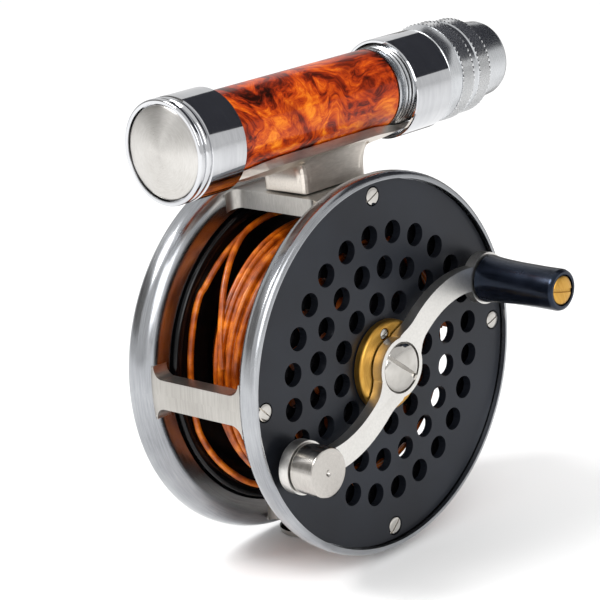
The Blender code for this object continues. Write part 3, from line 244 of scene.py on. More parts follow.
def ramp(tree, factor, stops):
    """A colour ramp of (position, hex colour or grey level) stops."""
    made = add(tree, "ValToRGB", {"Fac": factor})
    elements = made.color_ramp.elements
    while len(elements) < len(stops):
        elements.new(0.5)
    for element, (position, colour) in zip(elements, stops):
        element.position = position
        element.color = linear(colour) if isinstance(colour, str) else (colour, colour, colour, 1)
    return made.outputs["Color"]


def millimetres(tree, centre=None):
    """Object coordinates in millimetres, measured from a centre."""
    place = add(tree, "TexCoord").outputs["Object"]
    shift = (centre or Vector((0, 0, 0))) / MM
    return add(tree, "Mapping", {"Vector": place, "Location": -shift,
                                 "Scale": (1000, 1000, 1000)}).outputs["Vector"]


def round_axis(tree, centre, axis, sweep):
    """(radius, height, angle x sweep) round an axis, in mm, so that a pattern runs round the piece."""
    spot = add(tree, "SeparateXYZ", {"Vector": millimetres(tree, centre)})
    first, second = [n for n in "XYZ" if n != axis]
    squares = [add(tree, "Math", {0: spot.outputs[n], 1: 2.0},
                   operation="POWER").outputs[0] for n in (first, second)]
    total = add(tree, "Math", {0: squares[0], 1: squares[1]}, operation="ADD").outputs[0]
    radius = add(tree, "Math", {0: total}, operation="SQRT").outputs[0]
    turn = add(tree, "Math", {0: spot.outputs[second], 1: spot.outputs[first]},
               operation="ARCTAN2").outputs[0]
    swept = add(tree, "Math", {0: turn, 1: sweep}, operation="MULTIPLY").outputs[0]
    return add(tree, "CombineXYZ", {"X": radius, "Y": spot.outputs[axis], "Z": swept}).outputs["Vector"]


def metal(name, colours, roughness, pattern, scale, bump=0.02, centre=None, axis=None, sweep=1.0, detail=4):
    """A metal whose tool marks or blasted grain vary its colour, its roughness and, slightly, its height."""
    made, tree, shader = material(name)
    where = round_axis(tree, centre, axis, sweep) if axis else millimetres(tree)
    stretch = add(tree, "Mapping", {"Vector": where, "Scale": pattern}).outputs["Vector"]
    marks = add(tree, "TexNoise", {"Vector": stretch, "Scale": scale, "Detail": detail,
                                   "Roughness": 0.6}).outputs["Fac"]
    wide = add(tree, "TexNoise", {"Vector": millimetres(tree), "Scale": 0.09, "Detail": 3.0}).outputs["Fac"]
    both = add(tree, "Math", {0: marks, 1: wide}, operation="ADD").outputs[0]
    mean = add(tree, "Math", {0: both, 1: 0.5}, operation="MULTIPLY").outputs[0]
    tree.links.new(ramp(tree, mean, ((0.3, colours[0]), (0.7, colours[1]))), shader.inputs["Base Color"])
    tree.links.new(ramp(tree, mean, ((0.3, roughness[0]), (0.7, roughness[1]))), shader.inputs["Roughness"])
    height = add(tree, "Bump", {"Height": marks, "Strength": 0.6, "Distance": bump * MM}).outputs["Normal"]
    tree.links.new(height, shader.inputs["Normal"])
    shader.inputs["Metallic"].default_value = 1.0
    return made


def round_sheen(finish, axis, amount):
    """Draws a brushed disc's reflections out across its rings."""
    shader = finish.node_tree.nodes["Principled BSDF"]
    along_rings = add(finish.node_tree, "Tangent", direction_type="RADIAL", axis=axis).outputs["Tangent"]
    finish.node_tree.links.new(along_rings, shader.inputs["Tangent"])
    shader.inputs["Anisotropic"].default_value = amount
    shader.inputs["Anisotropic Rotation"].default_value = 0.25


# Turned 6061 aluminium, left satin off the lathe: fine tool lines run round the spool's axis, 0.2 mm apart.
TURNED_ALUMINIUM = metal("turned_satin_aluminium", ("#84868a", "#b0b2b5"), (0.16, 0.28), (1, 1, 0.05), 5.0,
                         0.01, SPOOL_AXIS, "Y", 30.0)
# The same metal on the bars between the rings, brushed round the frame: marks 0.25 mm apart.
BRUSHED_ALUMINIUM = metal("brushed_aluminium_bars", ("#96938e", "#bebbb6"), (0.3, 0.42), (0.3, 1.6, 0.04),
                          2.5, 0.012, SPOOL_AXIS, "Y", 30.0)
# The crank is milled flat and tumbled: paler, with faint clouds half a millimetre wide instead of lines.
TUMBLED_ALUMINIUM = metal("tumbled_aluminium_crank", ("#c6c4c0", "#dedcd8"), (0.3, 0.4), (1.6, 1.6, 1.6),
                          1.2, 0.004)
# Cast foot, linished along its length: warm grey, with soft grain 0.4 mm apart across it.
LINISHED_ALUMINIUM = metal("linished_cast_aluminium", ("#cbc3b9", "#ebe4db"), (0.3, 0.46), (0.4, 1.6, 1.6),
                           1.6, 0.012)
# Nickel silver hoods, machine polished: a near mirror with only a trace of wheel marks round the seat.
POLISHED_NICKEL = metal("polished_nickel_silver", ("#b4b5b8", "#cdced0"), (0.04, 0.09), (1, 1, 0.1), 1.2,
                        0.0004, SEAT_AXIS, "X", 12.0)
# The lock nut and the thread are the same metal left off the tool, softer than the hoods.
TURNED_NICKEL = metal("turned_nickel_silver", ("#b4b6b9", "#d2d4d6"), (0.2, 0.32), (1, 1, 0.06), 4.0, 0.006,
                      SEAT_AXIS, "X", 20.0)
# The knurled bands of the nut are painted paler: a painted highlight for their many little faces catching
# light from all sides.
KNURLED_NICKEL_PAINTED_LIGHT = metal("knurled_nickel_silver_painted_light", ("#dadcde", "#f6f6f6"), (0.2, 0.32), (1.5, 1.5, 1.5), 2.5,
                       0.008)
# The butt's domed plate, brushed in rings about its middle, so that its sheen is drawn out towards the rim.
BRUSHED_PLATE = metal("brushed_nickel_plate", ("#aeaba6", "#d0cecb"), (0.26, 0.34), (1, 1, 0.03), 8.0,
                      0.004, CAP_AXIS, "X", 20.0)
round_sheen(BRUSHED_PLATE, "X", 0.8)
# Polished steel screws: soft wheel smears 3 mm wide.
BRIGHT_STEEL = metal("bright_turned_steel", ("#a8a5a0", "#c9c6c1"), (0.05, 0.11), (1, 1, 1), 0.35, 0.001,
                     detail=2)
# The counterweight's face keeps the lathe's rings about its own middle.
WEIGHT_STEEL = metal("turned_steel_weight", ("#a39f9a", "#c8c4bf"), (0.16, 0.26), (1, 1, 0.04), 5.0, 0.003,
                     on_circle(-WEIGHT_THROW, CRANK_TURN), "Y", 20.0)
# Yellow brass, turned and left satin, with tool lines 0.25 mm apart.
TURNED_BRASS = metal("turned_brass", ("#a8772c", "#d4aa58"), (0.32, 0.44), (1, 1, 0.05), 4.0, 0.005,
                     SPOOL_AXIS, "Y", 20.0)


def anodised(name, colours, roughness, grain):
    """Dyed anodising over a fine matt blast: dark, faintly blue, with a broad soft sheen."""
    made, tree, shader = material(name)
    where = millimetres(tree)
    fine = add(tree, "TexNoise", {"Vector": where, "Scale": grain, "Detail": 3.0}).outputs["Fac"]
    wide = add(tree, "TexNoise", {"Vector": where, "Scale": 0.05, "Detail": 4.0}).outputs["Fac"]
    tree.links.new(ramp(tree, wide, ((0.3, colours[0]), (0.7, colours[1]))), shader.inputs["Base Color"])
    tree.links.new(ramp(tree, fine, ((0.3, roughness[0]), (0.7, roughness[1]))), shader.inputs["Roughness"])
    height = add(tree, "Bump", {"Height": fine, "Strength": 0.5, "Distance": 0.01 * MM}).outputs["Normal"]
    tree.links.new(height, shader.inputs["Normal"])
    shader.inputs["Metallic"].default_value = 0.5
    return made


MATT_ANODISED = anodised("matt_black_anodising", ("#16181e", "#1f232b"), (0.32, 0.42), 5.0)
GLOSS_ANODISED = anodised("gloss_black_anodising", ("#060607", "#0d0d10"), (0.12, 0.2), 3.0)


def ebonite():
    """Hard rubber, turned and buffed: black with a soft bluish sheen and faint rings from the lathe."""
    made, tree, shader = material("buffed_ebonite")
    where = millimetres(tree)
    rings = add(tree, "Mapping", {"Vector": where, "Scale": (0.1, 5, 0.1)}).outputs["Vector"]
    marks = add(tree, "TexNoise", {"Vector": rings, "Scale": 1.0, "Detail": 3.0}).outputs["Fac"]
    smears = add(tree, "TexNoise", {"Vector": where, "Scale": 0.3, "Detail": 4.0}).outputs["Fac"]
    tree.links.new(ramp(tree, smears, ((0.3, "#04060b"), (0.7, "#0a0d15"))), shader.inputs["Base Color"])
    tree.links.new(ramp(tree, smears, ((0.3, 0.18), (0.7, 0.28))), shader.inputs["Roughness"])
    height = add(tree, "Bump", {"Height": marks, "Strength": 0.4, "Distance": 0.01 * MM}).outputs["Normal"]
    tree.links.new(height, shader.inputs["Normal"])
    shader.inputs["IOR"].default_value = 1.55
    shader.inputs["Specular Tint"].default_value = linear("#a9bfe6")
    return made


def burl():
    """Stabilised maple burl under clear lacquer: swirled orange figure, dark eyes and pale streaks."""
    made, tree, shader = material("lacquered_maple_burl")
    where = millimetres(tree)
    flow = add(tree, "TexNoise", {"Vector": where, "Scale": 0.04, "Detail": 3.0,
                                  "Distortion": 0.6}).outputs["Color"]
    push = add(tree, "VectorMath", {0: flow, 1: (26.0, 26.0, 26.0)}, operation="MULTIPLY").outputs["Vector"]
    bent = add(tree, "VectorMath", {0: where, 1: push}, operation="ADD").outputs["Vector"]
    figure = add(tree, "TexNoise", {"Vector": bent, "Scale": 0.06, "Detail": 4.0, "Roughness": 0.5,
                                    "Distortion": 1.2}).outputs["Fac"]
    fibre = add(tree, "Mapping", {"Vector": bent, "Scale": (0.45, 1.5, 1.5)}).outputs["Vector"]
    streak = add(tree, "TexNoise", {"Vector": fibre, "Scale": 0.5, "Detail": 8.0, "Roughness": 0.68,
                                    "Distortion": 0.5}).outputs["Fac"]
    eyes = add(tree, "TexVoronoi", {"Vector": bent, "Scale": 0.07, "Randomness": 1.0}).outputs["Distance"]
    both = add(tree, "Mix", {0: 0.45, 2: figure, 3: streak}, data_type="FLOAT").outputs[0]
    grained = ramp(tree, both, ((0.4, "#200500"), (0.46, "#671801"), (0.5, "#9a2d02"), (0.55, "#c04a04"),
                                (0.64, "#e8841a")))
    dark = ramp(tree, eyes, ((0.0, 0.75), (0.2, 0.25), (0.38, 0.0)))
    spotted = add(tree, "Mix", {0: dark, 6: grained, 7: linear("#2c0a01")}, data_type="RGBA").outputs[2]
    tree.links.new(spotted, shader.inputs["Base Color"])
    tree.links.new(ramp(tree, streak, ((0.3, 0.3), (0.7, 0.42))), shader.inputs["Roughness"])
    shader.inputs["Specular IOR Level"].default_value = 0.1
    shader.inputs["Coat Weight"].default_value = 0.22
    shader.inputs["Coat Roughness"].default_value = 0.05
    shader.inputs["IOR"].default_value = 1.5
    return made


def line_coat(name, colours):
    """Plastic-coated braid: a smooth waxy skin, a little uneven, with painted shade in its hollows."""
    made, tree, shader = material(name)
    where = millimetres(tree)
    wide = add(tree, "TexNoise", {"Vector": where, "Scale": 0.35, "Detail": 3.0}).outputs["Fac"]
    fine = add(tree, "TexNoise", {"Vector": where, "Scale": 3.2, "Detail": 3.0}).outputs["Fac"]
    colour = ramp(tree, wide, ((0.32, colours[0]), (0.5, colours[1]), (0.68, colours[2])))
    # Painted shade: the hollows of the fine bump are darkened towards the darkest line colour.
    hollow_shade = ramp(tree, fine, ((0.3, 0.35), (0.5, 0.0)))
    tree.links.new(add(tree, "Mix", {0: hollow_shade, 6: colour, 7: linear(colours[0])},
                       data_type="RGBA").outputs[2],
                   shader.inputs["Base Color"])
    height = add(tree, "Bump", {"Height": fine, "Strength": 0.5, "Distance": 0.03 * MM}).outputs["Normal"]
    tree.links.new(height, shader.inputs["Normal"])
    shader.inputs["Roughness"].default_value = 0.3
    shader.inputs["IOR"].default_value = 1.48
    return made


EBONITE = ebonite()
BURL = burl()
FLY_LINE = line_coat("coated_fly_line", ("#7c3204", "#ad5008", "#d87714"))
# Darker colours for the line core and the under wraps: painted shade for the turns lying deep under the top
# wraps.
SHADED_LINE = line_coat("shaded_fly_line", ("#481a02", "#723205", "#97490b"))


# ---------------------------------------------------------------- frame


def flank(face, step):
    """The rounded shoulder from a ring's flat inner face to its rim."""
    turns = [math.radians(90 * i / 8) for i in range(9)]
    return [(34.9 + 3.6 * math.sin(t), face + step * 3.4 * (1 - math.cos(t))) for t in turns]


def rings():
    front = [(37.1, -1.2)] + arc(37.2, 0.1, 1.3, -1.3, 90, 0) + flank(4.5, -1)[::-1]
    front += [(32.3, 4.5), (32.3, 2.1), (37.1, 2.1)]
    rear = [(37.1, 33.4)] + arc(37.2, 32.1, 1.3, 1.3, 90, 0) + flank(27.5, 1)[::-1]
    rear += [(32.3, 27.5), (32.3, 30.7), (37.1, 30.7)]
    made = []
    for name, profile in (("front_ring", front), ("rear_ring", rear)):
        ring = turned(name, profile, segments=FINE, tube=True)
        made.append(finished(ring, "frame", TURNED_ALUMINIUM, "satin_aluminium"))
    return made


def pillars():
    """The four bars between the rings, cut from one band and filleted where they meet the rings."""
    band = [(36.8, 3.2), (36.8, 28.8), (33.2, 28.8), (33.2, 3.2)]
    made = []
    spans = (("top_bar", 90, 21.0), ("butt_side_pillar", 180, 6.0), ("bottom_bar", 270, 12.0),
             ("tip_side_pillar", 0, 6.0))
    for name, degrees, width in spans:
        bar = turned(name, band, segments=360, tube=True)
        keep = block(reel(25, 2, -width / 2), reel(45, 30, width / 2))
        corner = 2.4
        for side in (1, -1):
            for y in (4.5, 27.5):
                edge = block(reel(25, y - corner, side * width / 2 - corner),
                             reel(45, y + corner, side * width / 2 + corner))
                bite_y = y + (corner if y < 10 else -corner)
                bite = pin(reel(20, bite_y, side * (width / 2 + corner)), corner, 30, "X", 40)
                keep = combined(keep, combined(edge, bite), "UNION")
        keep.data.transform(turn_about(SPOOL_AXIS, -degrees))
        bar = combined(bar, keep, "INTERSECT")
        if name == "top_bar":
            combined(bar, block(reel(-20, 0, 35.2), reel(20, 34, 45)))
        rounded(bar, 0.35, 2, 50)
        made.append(finished(bar, "frame", BRUSHED_ALUMINIUM, "satin_aluminium"))
    return made


def frame_pieces():
    made = rings() + pillars()
    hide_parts("frame_cage")


PLATE_ROWS = ((24, 26.4, 2.35), (18, 19.5, 2.35), (12, 12.6, 2.35))


def perforations(rows, phase, low, length, avoid=()):
    pins = []
    for count, circle, radius in rows:
        for i in range(count):
            place = on_circle(circle, phase + 360 * i / count, low)
            if all((place - other).xz.length > (radius + 1.7) * MM for other in avoid):
                pins.append(pin(place, radius, length))
    return joined(pins)


def plate(name, low, outward, avoid=()):
    body = turned(name, [(5.3, low), (36.8, low), (36.8, low + PLATE_THICKNESS), (5.3, low + PLATE_THICKNESS)],
                  segments=FINE, tube=True)
    combined(body, perforations(PLATE_ROWS, 3.8, low - 1, 3.8, avoid))
    sink = low - 1 if outward < 0 else low + 0.9
    combined(body, joined([pin(on_circle(RIM_SCREW_CIRCLE, a, sink), 2.0, 1.9) for a in RIM_SCREW_PLACES]))
    rounded(body, 0.14, 2, 50)
    return finished(body, "frame", MATT_ANODISED, "black_anodised", name)


def posts():
    """Where the click's posts stand, so that the rear plate has no hole there."""
    return [on_circle(16.05, -77.5), on_circle(22.95, -107.5), on_circle(22.95, -47.5)]


def screw(name, place, radius, height, outward, slot_turn, finish=BRIGHT_STEEL, body="frame", slot="steel",
          nodes=(), shank=(0.9, 4.0), segments=SMALL, slot_width=0.28):
    """A slotted cheese-head screw with a slightly crowned face. place is the middle of its outer face."""
    back = -outward
    crown = radius * 0.06
    profile = [(radius * 0.5, 0.0), (radius * 0.8, back * crown * 0.6),
               (radius * 0.94, back * crown * 1.4), (radius, back * (crown + 0.25)),
               (radius, back * height), (shank[0], back * height), (shank[0], back * (height + shank[1]))]
    body_piece = turned(name, profile, centre=place, segments=segments)
    low = place + Vector((-radius * 1.3, -height * 0.55, -slot_width / 2)) * MM
    high = place + Vector((radius * 1.3, height * 0.55, slot_width / 2)) * MM
    combined(body_piece, block(low, high, turn_about(place, -slot_turn)))
    return finished(body_piece, body, finish, slot, *nodes, smooth=38)


def plates_and_screws():
    plate("front_plate", 0.0, -1)
    plate("rear_plate", 31.0, 1, posts())
    for side, face, outward in (("front", 0.0, -1), ("rear", 32.8, 1)):
        for index, (degrees, slot_turn) in enumerate(zip(RIM_SCREW_PLACES, (20, 25, -45, 42)), 1):
            name = f"{side}_plate_screw_{index}"
            place = on_circle(RIM_SCREW_CIRCLE, degrees, face + outward * 0.15)
            screw("rim_" + name, place, 1.8, 0.75, outward, slot_turn, nodes=(name,))


def bushes():
    for side, flange, outward, node in (("front", -0.3, -1, "front_bush"), ("rear", 33.1, 1, "rear_bush")):
        tip = flange + outward * 1.8
        inner = 2.2 if outward < 0 else 30.9
        rim = arc(8.4, tip - outward * 0.8, 0.8, outward * 0.8, 90, 0, 6)
        if outward < 0:
            profile = [(3.2, tip), (3.5, tip), (8.2, tip), *rim, (9.2, flange), (5.0, flange), (5.0, inner),
                       (3.2, inner)]
            body = turned(side + "_bush_fine", profile, tube=True)
        else:
            profile = [(8.2, tip), *rim, (9.2, flange), (5.0, flange), (5.0, inner), (3.2, inner),
                       (3.2, tip - 0.9)]
            body = turned(side + "_bush_fine", profile)
        sink = tip - 1 if outward < 0 else tip - 0.8
        combined(body, joined([pin(on_circle(BUSH_SCREW_CIRCLE, a, sink), 1.25, 1.8)
                               for a in BUSH_SCREW_PLACES]))
        finished(body, "frame", TURNED_BRASS, "brass", node, smooth=35)
        for index, degrees in enumerate(BUSH_SCREW_PLACES, 1):
            name = f"{side}_bush_screw_{index}"
            screw("small_" + name, on_circle(BUSH_SCREW_CIRCLE, degrees, tip), 1.1, 0.5, outward, 20,
                  nodes=(name,), shank=(0.55, 2.4), segments=24, slot_width=0.25)


# ---------------------------------------------------------------- spool


def spool():
    rows = ((20, 22.8, 2.5), (12, 15.6, 2.2))
    front = turned("spool_front_wall", [(3.2, 2.6), (31.8, 2.6), (31.8, 3.9), (3.2, 3.9)], segments=FINE,
                   tube=True)
    combined(front, perforations(rows, 0.5, 1.6, 3.3))
    rounded(front, 0.15, 2, 50)
    finished(front, "spool", GLOSS_ANODISED, "gloss_black", "spool_front_flange")
    lip = arc(31.1, 27.0, 0.7, -0.7, 0, 90, 5) + arc(30.2, 27.0, -0.7, -0.7, 90, 0, 5)
    rear = turned("spool_rear_wall", [(31.8, 28.6), *lip, (29.2, 27.3), (3.2, 27.3), (3.2, 28.6)],
                  segments=FINE, tube=True)
    combined(rear, perforations(rows[1:], 0.5, 26.3, 3.3))
    finished(rear, "spool", GLOSS_ANODISED, "gloss_black", "spool_rear_flange")


def strand(name, points, radius, finish, closed=False):
    """One run of line as a round tube along its points."""
    curve = bpy.data.curves.new(name, "CURVE")
    curve.dimensions = "3D"
    curve.bevel_depth = radius * MM
    curve.bevel_resolution = 3
    curve.use_fill_caps = True
    spline = curve.splines.new("POLY")
    spline.points.add(len(points) - 1)
    for point, place in zip(spline.points, points):
        point.co = (*place, 1.0)
    spline.use_cyclic_u = closed
    obj = bpy.data.objects.new(name, curve)
    bpy.context.scene.collection.objects.link(obj)
    pick(obj)
    bpy.ops.object.convert(target="MESH")
    return obj


def wound_layer(name, seed, radius, low, high, turns, slant, finish):
    """A layer of wraps that wander across each other, as a line reeled in by hand does."""
    dice = random.Random(seed)
    wobble = [(dice.uniform(-1, 1), dice.uniform(0, 6.3), dice.choice((1, 2, 3))) for _ in range(turns + 2)]
    lift = [dice.uniform(-0.25, 0.3) for _ in range(turns + 2)]
    points, steps = [], 72
    for i in range(turns * steps + 1):
        wrap, share = divmod(i / steps, 1)
        wrap = int(wrap)
        ease = share * share * (3 - 2 * share)
        across = []
        for k in (wrap, wrap + 1):
            size, start, beats = wobble[k]
            across.append(0.8 * size * math.sin(start + beats * 2 * math.pi * share))
        y = low + (high - low) * (i / steps) / turns + across[0] * (1 - ease) + across[1] * ease
        y += slant * math.sin(2 * math.pi * share + 0.7 * wrap)
        y = min(high, max(low, y))
        out = radius + lift[wrap] * (1 - ease) + lift[wrap + 1] * ease - 0.85 * max(0.0, 9.5 - y)
        points.append(on_circle(out, 360 * share, y))
    piece = strand(name, points, 0.62, finish)
    finished(piece, "spool", finish, "fly_line", smooth=60, weigh=False)
    return piece


def line():
    core = turned("line_core", [(8.3, 4.3), (20.4, 4.3), (24.6, 9.2), (25.6, 20), (24.0, 22.2),
                                (21.4, 26.6), (8.3, 26.6)],
                  tube=True, segments=FINE)
    finished(core, "spool", SHADED_LINE, "fly_line", "line_winding")
    wound_layer("under_wraps", 3, 25.7, 5.0, 21.6, 15, 0.5, SHADED_LINE)
    wound_layer("middle_wraps", 11, 26.4, 5.4, 20.8, 13, 0.9, FLY_LINE)
    wound_layer("top_wraps", 29, 27.1, 6.0, 19.6, 9, 1.3, FLY_LINE)
    stops = ((60, 26.9, 19.0), (80, 27.9, 22.5), (93, 28.6, 24.6), (115, 28.5, 25.2), (139, 28.9, 25.4),
             (146, 29.5, 25.4), (164, 28.9, 25.3), (180, 28.9, 25.2), (196, 29.4, 25.3), (202, 29.6, 25.3),
             (226, 29.2, 25.3), (241, 29.2, 25.3), (262, 28.8, 24.9), (285, 28.0, 22.6), (305, 26.9, 19.4))
    finished(strand("loose_turn", smooth_run(stops), 0.65, FLY_LINE), "spool", FLY_LINE, "fly_line",
             smooth=60, weigh=False)
    stops = ((96, 28.6, 24.9), (112, 28.9, 24.6), (124, 28.9, 23.2), (138, 28.6, 21.2), (152, 28.0, 19.4),
             (172, 27.5, 17.6))
    finished(strand("crossing_turn", smooth_run(stops), 0.65, FLY_LINE), "spool", FLY_LINE, "fly_line",
             smooth=60, weigh=False)


def smooth_run(stops, steps=10):
    """A smooth curve through (degrees, radius, y) stops."""
    ends = [stops[0], *stops, stops[-1]]
    points = []
    for a, b, c, d in zip(ends, ends[1:], ends[2:], ends[3:]):
        for i in range(steps):
            t = i / steps
            spot = []
            for p, q, r, s in zip(a, b, c, d):
                spot.append(0.5 * (2 * q + (r - p) * t + (2 * p - 5 * q + 4 * r - s) * t * t
                                   + (3 * q - p - 3 * r + s) * t ** 3))
            points.append(on_circle(spot[1], spot[0], spot[2]))
    degrees, radius, y = stops[-1]
    points.append(on_circle(radius, degrees, y))
    return points


# ---------------------------------------------------------------- crank


def sweep(throw, t):
    handles = ((0.0, 0.0), (0.29 * throw, 0.19 * throw), (0.68 * throw, 0.26 * throw), (throw, 0.0))
    weights = ((1 - t) ** 3, 3 * t * (1 - t) ** 2, 3 * t * t * (1 - t), t ** 3)
    return Vector([sum(w * h[i] for w, h in zip(weights, handles)) for i in (0, 1)])


def crank_arm_half(throw, half_turn):
    """One arm of the S: a flat strip extruded along its curved middle line."""
    turn = Matrix.Rotation(math.radians(CRANK_TURN + (180 if half_turn else 0)), 2)
    left, right = [], []
    for i in range(33):
        t = i / 32
        ahead = (sweep(throw, min(1, t + 0.01)) - sweep(throw, max(0, t - 0.01))).normalized()
        fillet = 1.3 * min(1.0, max(0.0, 1 - (sweep(throw, t).length - 5.2) / 4.0)) ** 2
        across = Vector((-ahead.y, ahead.x)) * (2.55 - 0.1 * t + fillet)
        left.append(turn @ (sweep(throw, t) + across))
        right.append(turn @ (sweep(throw, t) - across))
    outline = left + right[::-1]
    mesh = bpy.data.meshes.new("arm")
    mesh.from_pydata([reel(p.x, CRANK_FRONT, p.y) for p in outline], [], [list(range(len(outline)))])
    arm = bpy.data.objects.new("arm", mesh)
    bpy.context.scene.collection.objects.link(arm)
    pick(arm)
    bpy.ops.object.mode_set(mode="EDIT")
    bpy.ops.mesh.select_all(action="SELECT")
    thickness = (CRANK_BACK - CRANK_FRONT) * MM
    bpy.ops.mesh.extrude_region_move(TRANSFORM_OT_translate={"value": (0, thickness, 0)})
    bpy.ops.mesh.select_all(action="SELECT")
    bpy.ops.mesh.normals_make_consistent(inside=False)
    bpy.ops.object.mode_set(mode="OBJECT")
    return arm


def crank():
    thick = CRANK_BACK - CRANK_FRONT
    arm = pin(reel(0, CRANK_FRONT, 0), 6.1, thick, segments=MIDDLE)
    for throw, half in ((KNOB_THROW, False), (WEIGHT_THROW, True)):
        combined(arm, crank_arm_half(throw, half), "UNION")
        place = on_circle(-throw if half else throw, CRANK_TURN, CRANK_FRONT)
        combined(arm, pin(place, 5.3, thick, segments=56), "UNION")
    combined(arm, pin(reel(0, CRANK_FRONT - 1, 0), 5.2, 2.2, segments=MIDDLE))
    pick(arm)
    dissolve = arm.modifiers.new("flat", "DECIMATE")
    dissolve.decimate_type = "DISSOLVE"
    dissolve.angle_limit = math.radians(0.5)
    bpy.ops.object.modifier_apply(modifier=dissolve.name)
    rounded(arm, 0.28, 3, 40)
    finished(arm, "spool", TUMBLED_ALUMINIUM, "satin_aluminium", "crank_arm")
    dome = [(5.0 * math.sin(math.radians(t)),
             CRANK_FRONT - 1.15 * math.cos(math.radians(t)) + 0.35) for t in
            (12, 24, 36, 48, 60, 72, 82, 90)]
    cap_screw = turned("crank_cap_screw", [*dome, (5.0, -3.7), (1.0, -3.7), (1.0, 4.0)], segments=MIDDLE)
    slot_turn = turn_about(SPOOL_AXIS, 38)
    combined(cap_screw, block(reel(-7, CRANK_FRONT - 1.5, -0.5), reel(7, CRANK_FRONT + 0.7, 0.5),
                              slot_turn))
    finished(cap_screw, "spool", BRIGHT_STEEL, "steel", "crank_screw", smooth=38)
    place = on_circle(-WEIGHT_THROW, CRANK_TURN)
    weight = turned("turned_counterweight", [(0.25, -9.9), (0.7, -10.35), (0.85, -10.4), (4.4, -10.4),
                                             (4.75, -10.3), (4.9, -10.05), (4.9, -5.0), (1.5, -5.0),
                                             (1.5, -2.8)], centre=place)
    finished(weight, "spool", WEIGHT_STEEL, "polished_silver", "counterweight", smooth=40)
    base, end = -5.0, -23.8
    place = on_circle(KNOB_THROW, CRANK_TURN)
    knob = turned("turned_knob", [(1.8, base), (4.75, base), (4.9, base - 0.15), (4.78, base - 1.0),
                                  (4.6, base - 2.5), (4.45, base - 4.5), (4.3, base - 8), (4.22, end + 5),
                                  (4.25, end + 0.8), (4.05, end + 0.25), (3.65, end), (3.2, end),
                                  (3.2, end + 1.1), (1.8, end + 1.1)],
                  centre=place, tube=True)
    finished(knob, "knob", EBONITE, "black_ebonite", "handle_knob", smooth=32)
    screw("knob_pin", on_circle(KNOB_THROW, CRANK_TURN, end - 0.2), 2.9, 1.0, -1, -12, TURNED_BRASS,
          "spool", "brass", ("handle_screw",), (1.5, 20.1), 48, 0.8)


# ---------------------------------------------------------------- seat


def thread(start, end, crest, depth=0.45, pitch=1.0):
    """The V grooves of a thread, as rings."""
    made = []
    count = int((end - start) / pitch)
    for i in range(count):
        x = start + i * pitch
        made += [(crest, x), (crest, x + 0.35 * pitch), (crest - depth, x + 0.65 * pitch),
                 (crest - depth, x + 0.72 * pitch)]
    return made


def seat():
    barrel = turned("threaded_barrel", [(5.2, -36.9), (6.5, -36.9), (6.5, 17.8), (8.2, 17.8), (8.2, 18.4),
                                        (7.5, 18.5), (7.5, 18.9), *thread(19.1, 44.1, 8.3), (7.7, 44.6),
                                        (6.5, 44.6), (6.5, 53.25), (6.35, 53.4), (5.4, 53.4), (5.2, 53.2)],
                    "X", SEAT_AXIS, 96, tube=True)
    finished(barrel, "frame", TURNED_NICKEL, "polished_silver", "seat_barrel", smooth=25)
    wood = turned("burl_insert", [(6.8, -36.9), (8.2, -36.9), (8.2, 17.3), (8.05, 17.5), (6.8, 17.5)],
                  "X", SEAT_AXIS, 96, tube=True)
    finished(wood, "frame", BURL, "burl_wood", "wood_insert")
    cap = turned("turned_butt_cap", [
        (9.3, -39.2), (9.3, -40.3), *arc(9.85, -40.05, 0.35, -0.35, 90, 0, 4), (10.2, -39.5),
        (10.0, -39.15), (9.7, -39.0), (9.7, -38.75), (10.0, -38.6), (10.15, -38.4), (10.2, -38.1),
        (10.15, -37.8), (9.85, -37.55), (9.85, -37.3), (10.2, -37.1), (10.2, -28.4), (10.05, -28.2),
        (9.6, -28.2), (9.6, -37.2), (4.3, -37.2), (4.3, -31.2)], "X", CAP_AXIS, 96)
    finished(cap, "frame", POLISHED_NICKEL, "polished_silver", "butt_cap", smooth=28)
    dome = [(radius, -41.3 + radius * radius / 66)
            for radius in (0.6, 1.5, 2.5, 3.5, 4.5, 5.5, 6.5, 7.3, 8.0, 8.6)]
    dome += [(8.95, -40.05), (9.1, -39.85)]
    plate_piece = turned("brushed_butt_plate", [*dome, (9.1, -39.5)], "X", CAP_AXIS, 96)
    finished(plate_piece, "frame", BRUSHED_PLATE, "satin_aluminium", "butt_plate", smooth=40)
    hood = turned("turned_hood", [(9.6, 20.8), (10.0, 20.8), (10.2, 21.0), (10.2, 31.4), (10.0, 31.6),
                                  (9.2, 31.6), (9.2, 30.4), (9.6, 30.4)], "X", CAP_AXIS, 96, tube=True)
    finished(hood, "hood", POLISHED_NICKEL, "polished_silver", "sliding_hood", smooth=28)


def knurl(name, start, end, radius, depth=0.4, teeth=60):
    """A diamond-knurled band: rows of points stand proud in turn."""
    rows = 7
    step = (end - start) / rows
    profile = [(radius - 0.8, start), (radius - 0.25, start)]
    profile += [(radius - 0.05, start + step * (i + 0.5)) for i in range(rows)]
    profile += [(radius - 0.25, end), (radius - 0.8, end)]
    band = turned(name, profile, "X", SEAT_AXIS, teeth * 2, tube=True)
    for vertex in band.data.vertices:
        place = vertex.co - SEAT_AXIS
        out = math.hypot(place.y, place.z)
        if abs(out / MM - (radius - 0.05)) > 0.02:
            continue
        row = round((place.x / MM - start) / step - 0.5)
        tooth = round(math.atan2(place.z, place.y) / math.pi * teeth)
        if (row + tooth) % 2:
            scale = (out - depth * MM) / out
            vertex.co = SEAT_AXIS + Vector((place.x, place.y * scale, place.z * scale))
    return finished(band, "nut", KNURLED_NICKEL_PAINTED_LIGHT, "polished_silver", smooth=12, weigh=False)


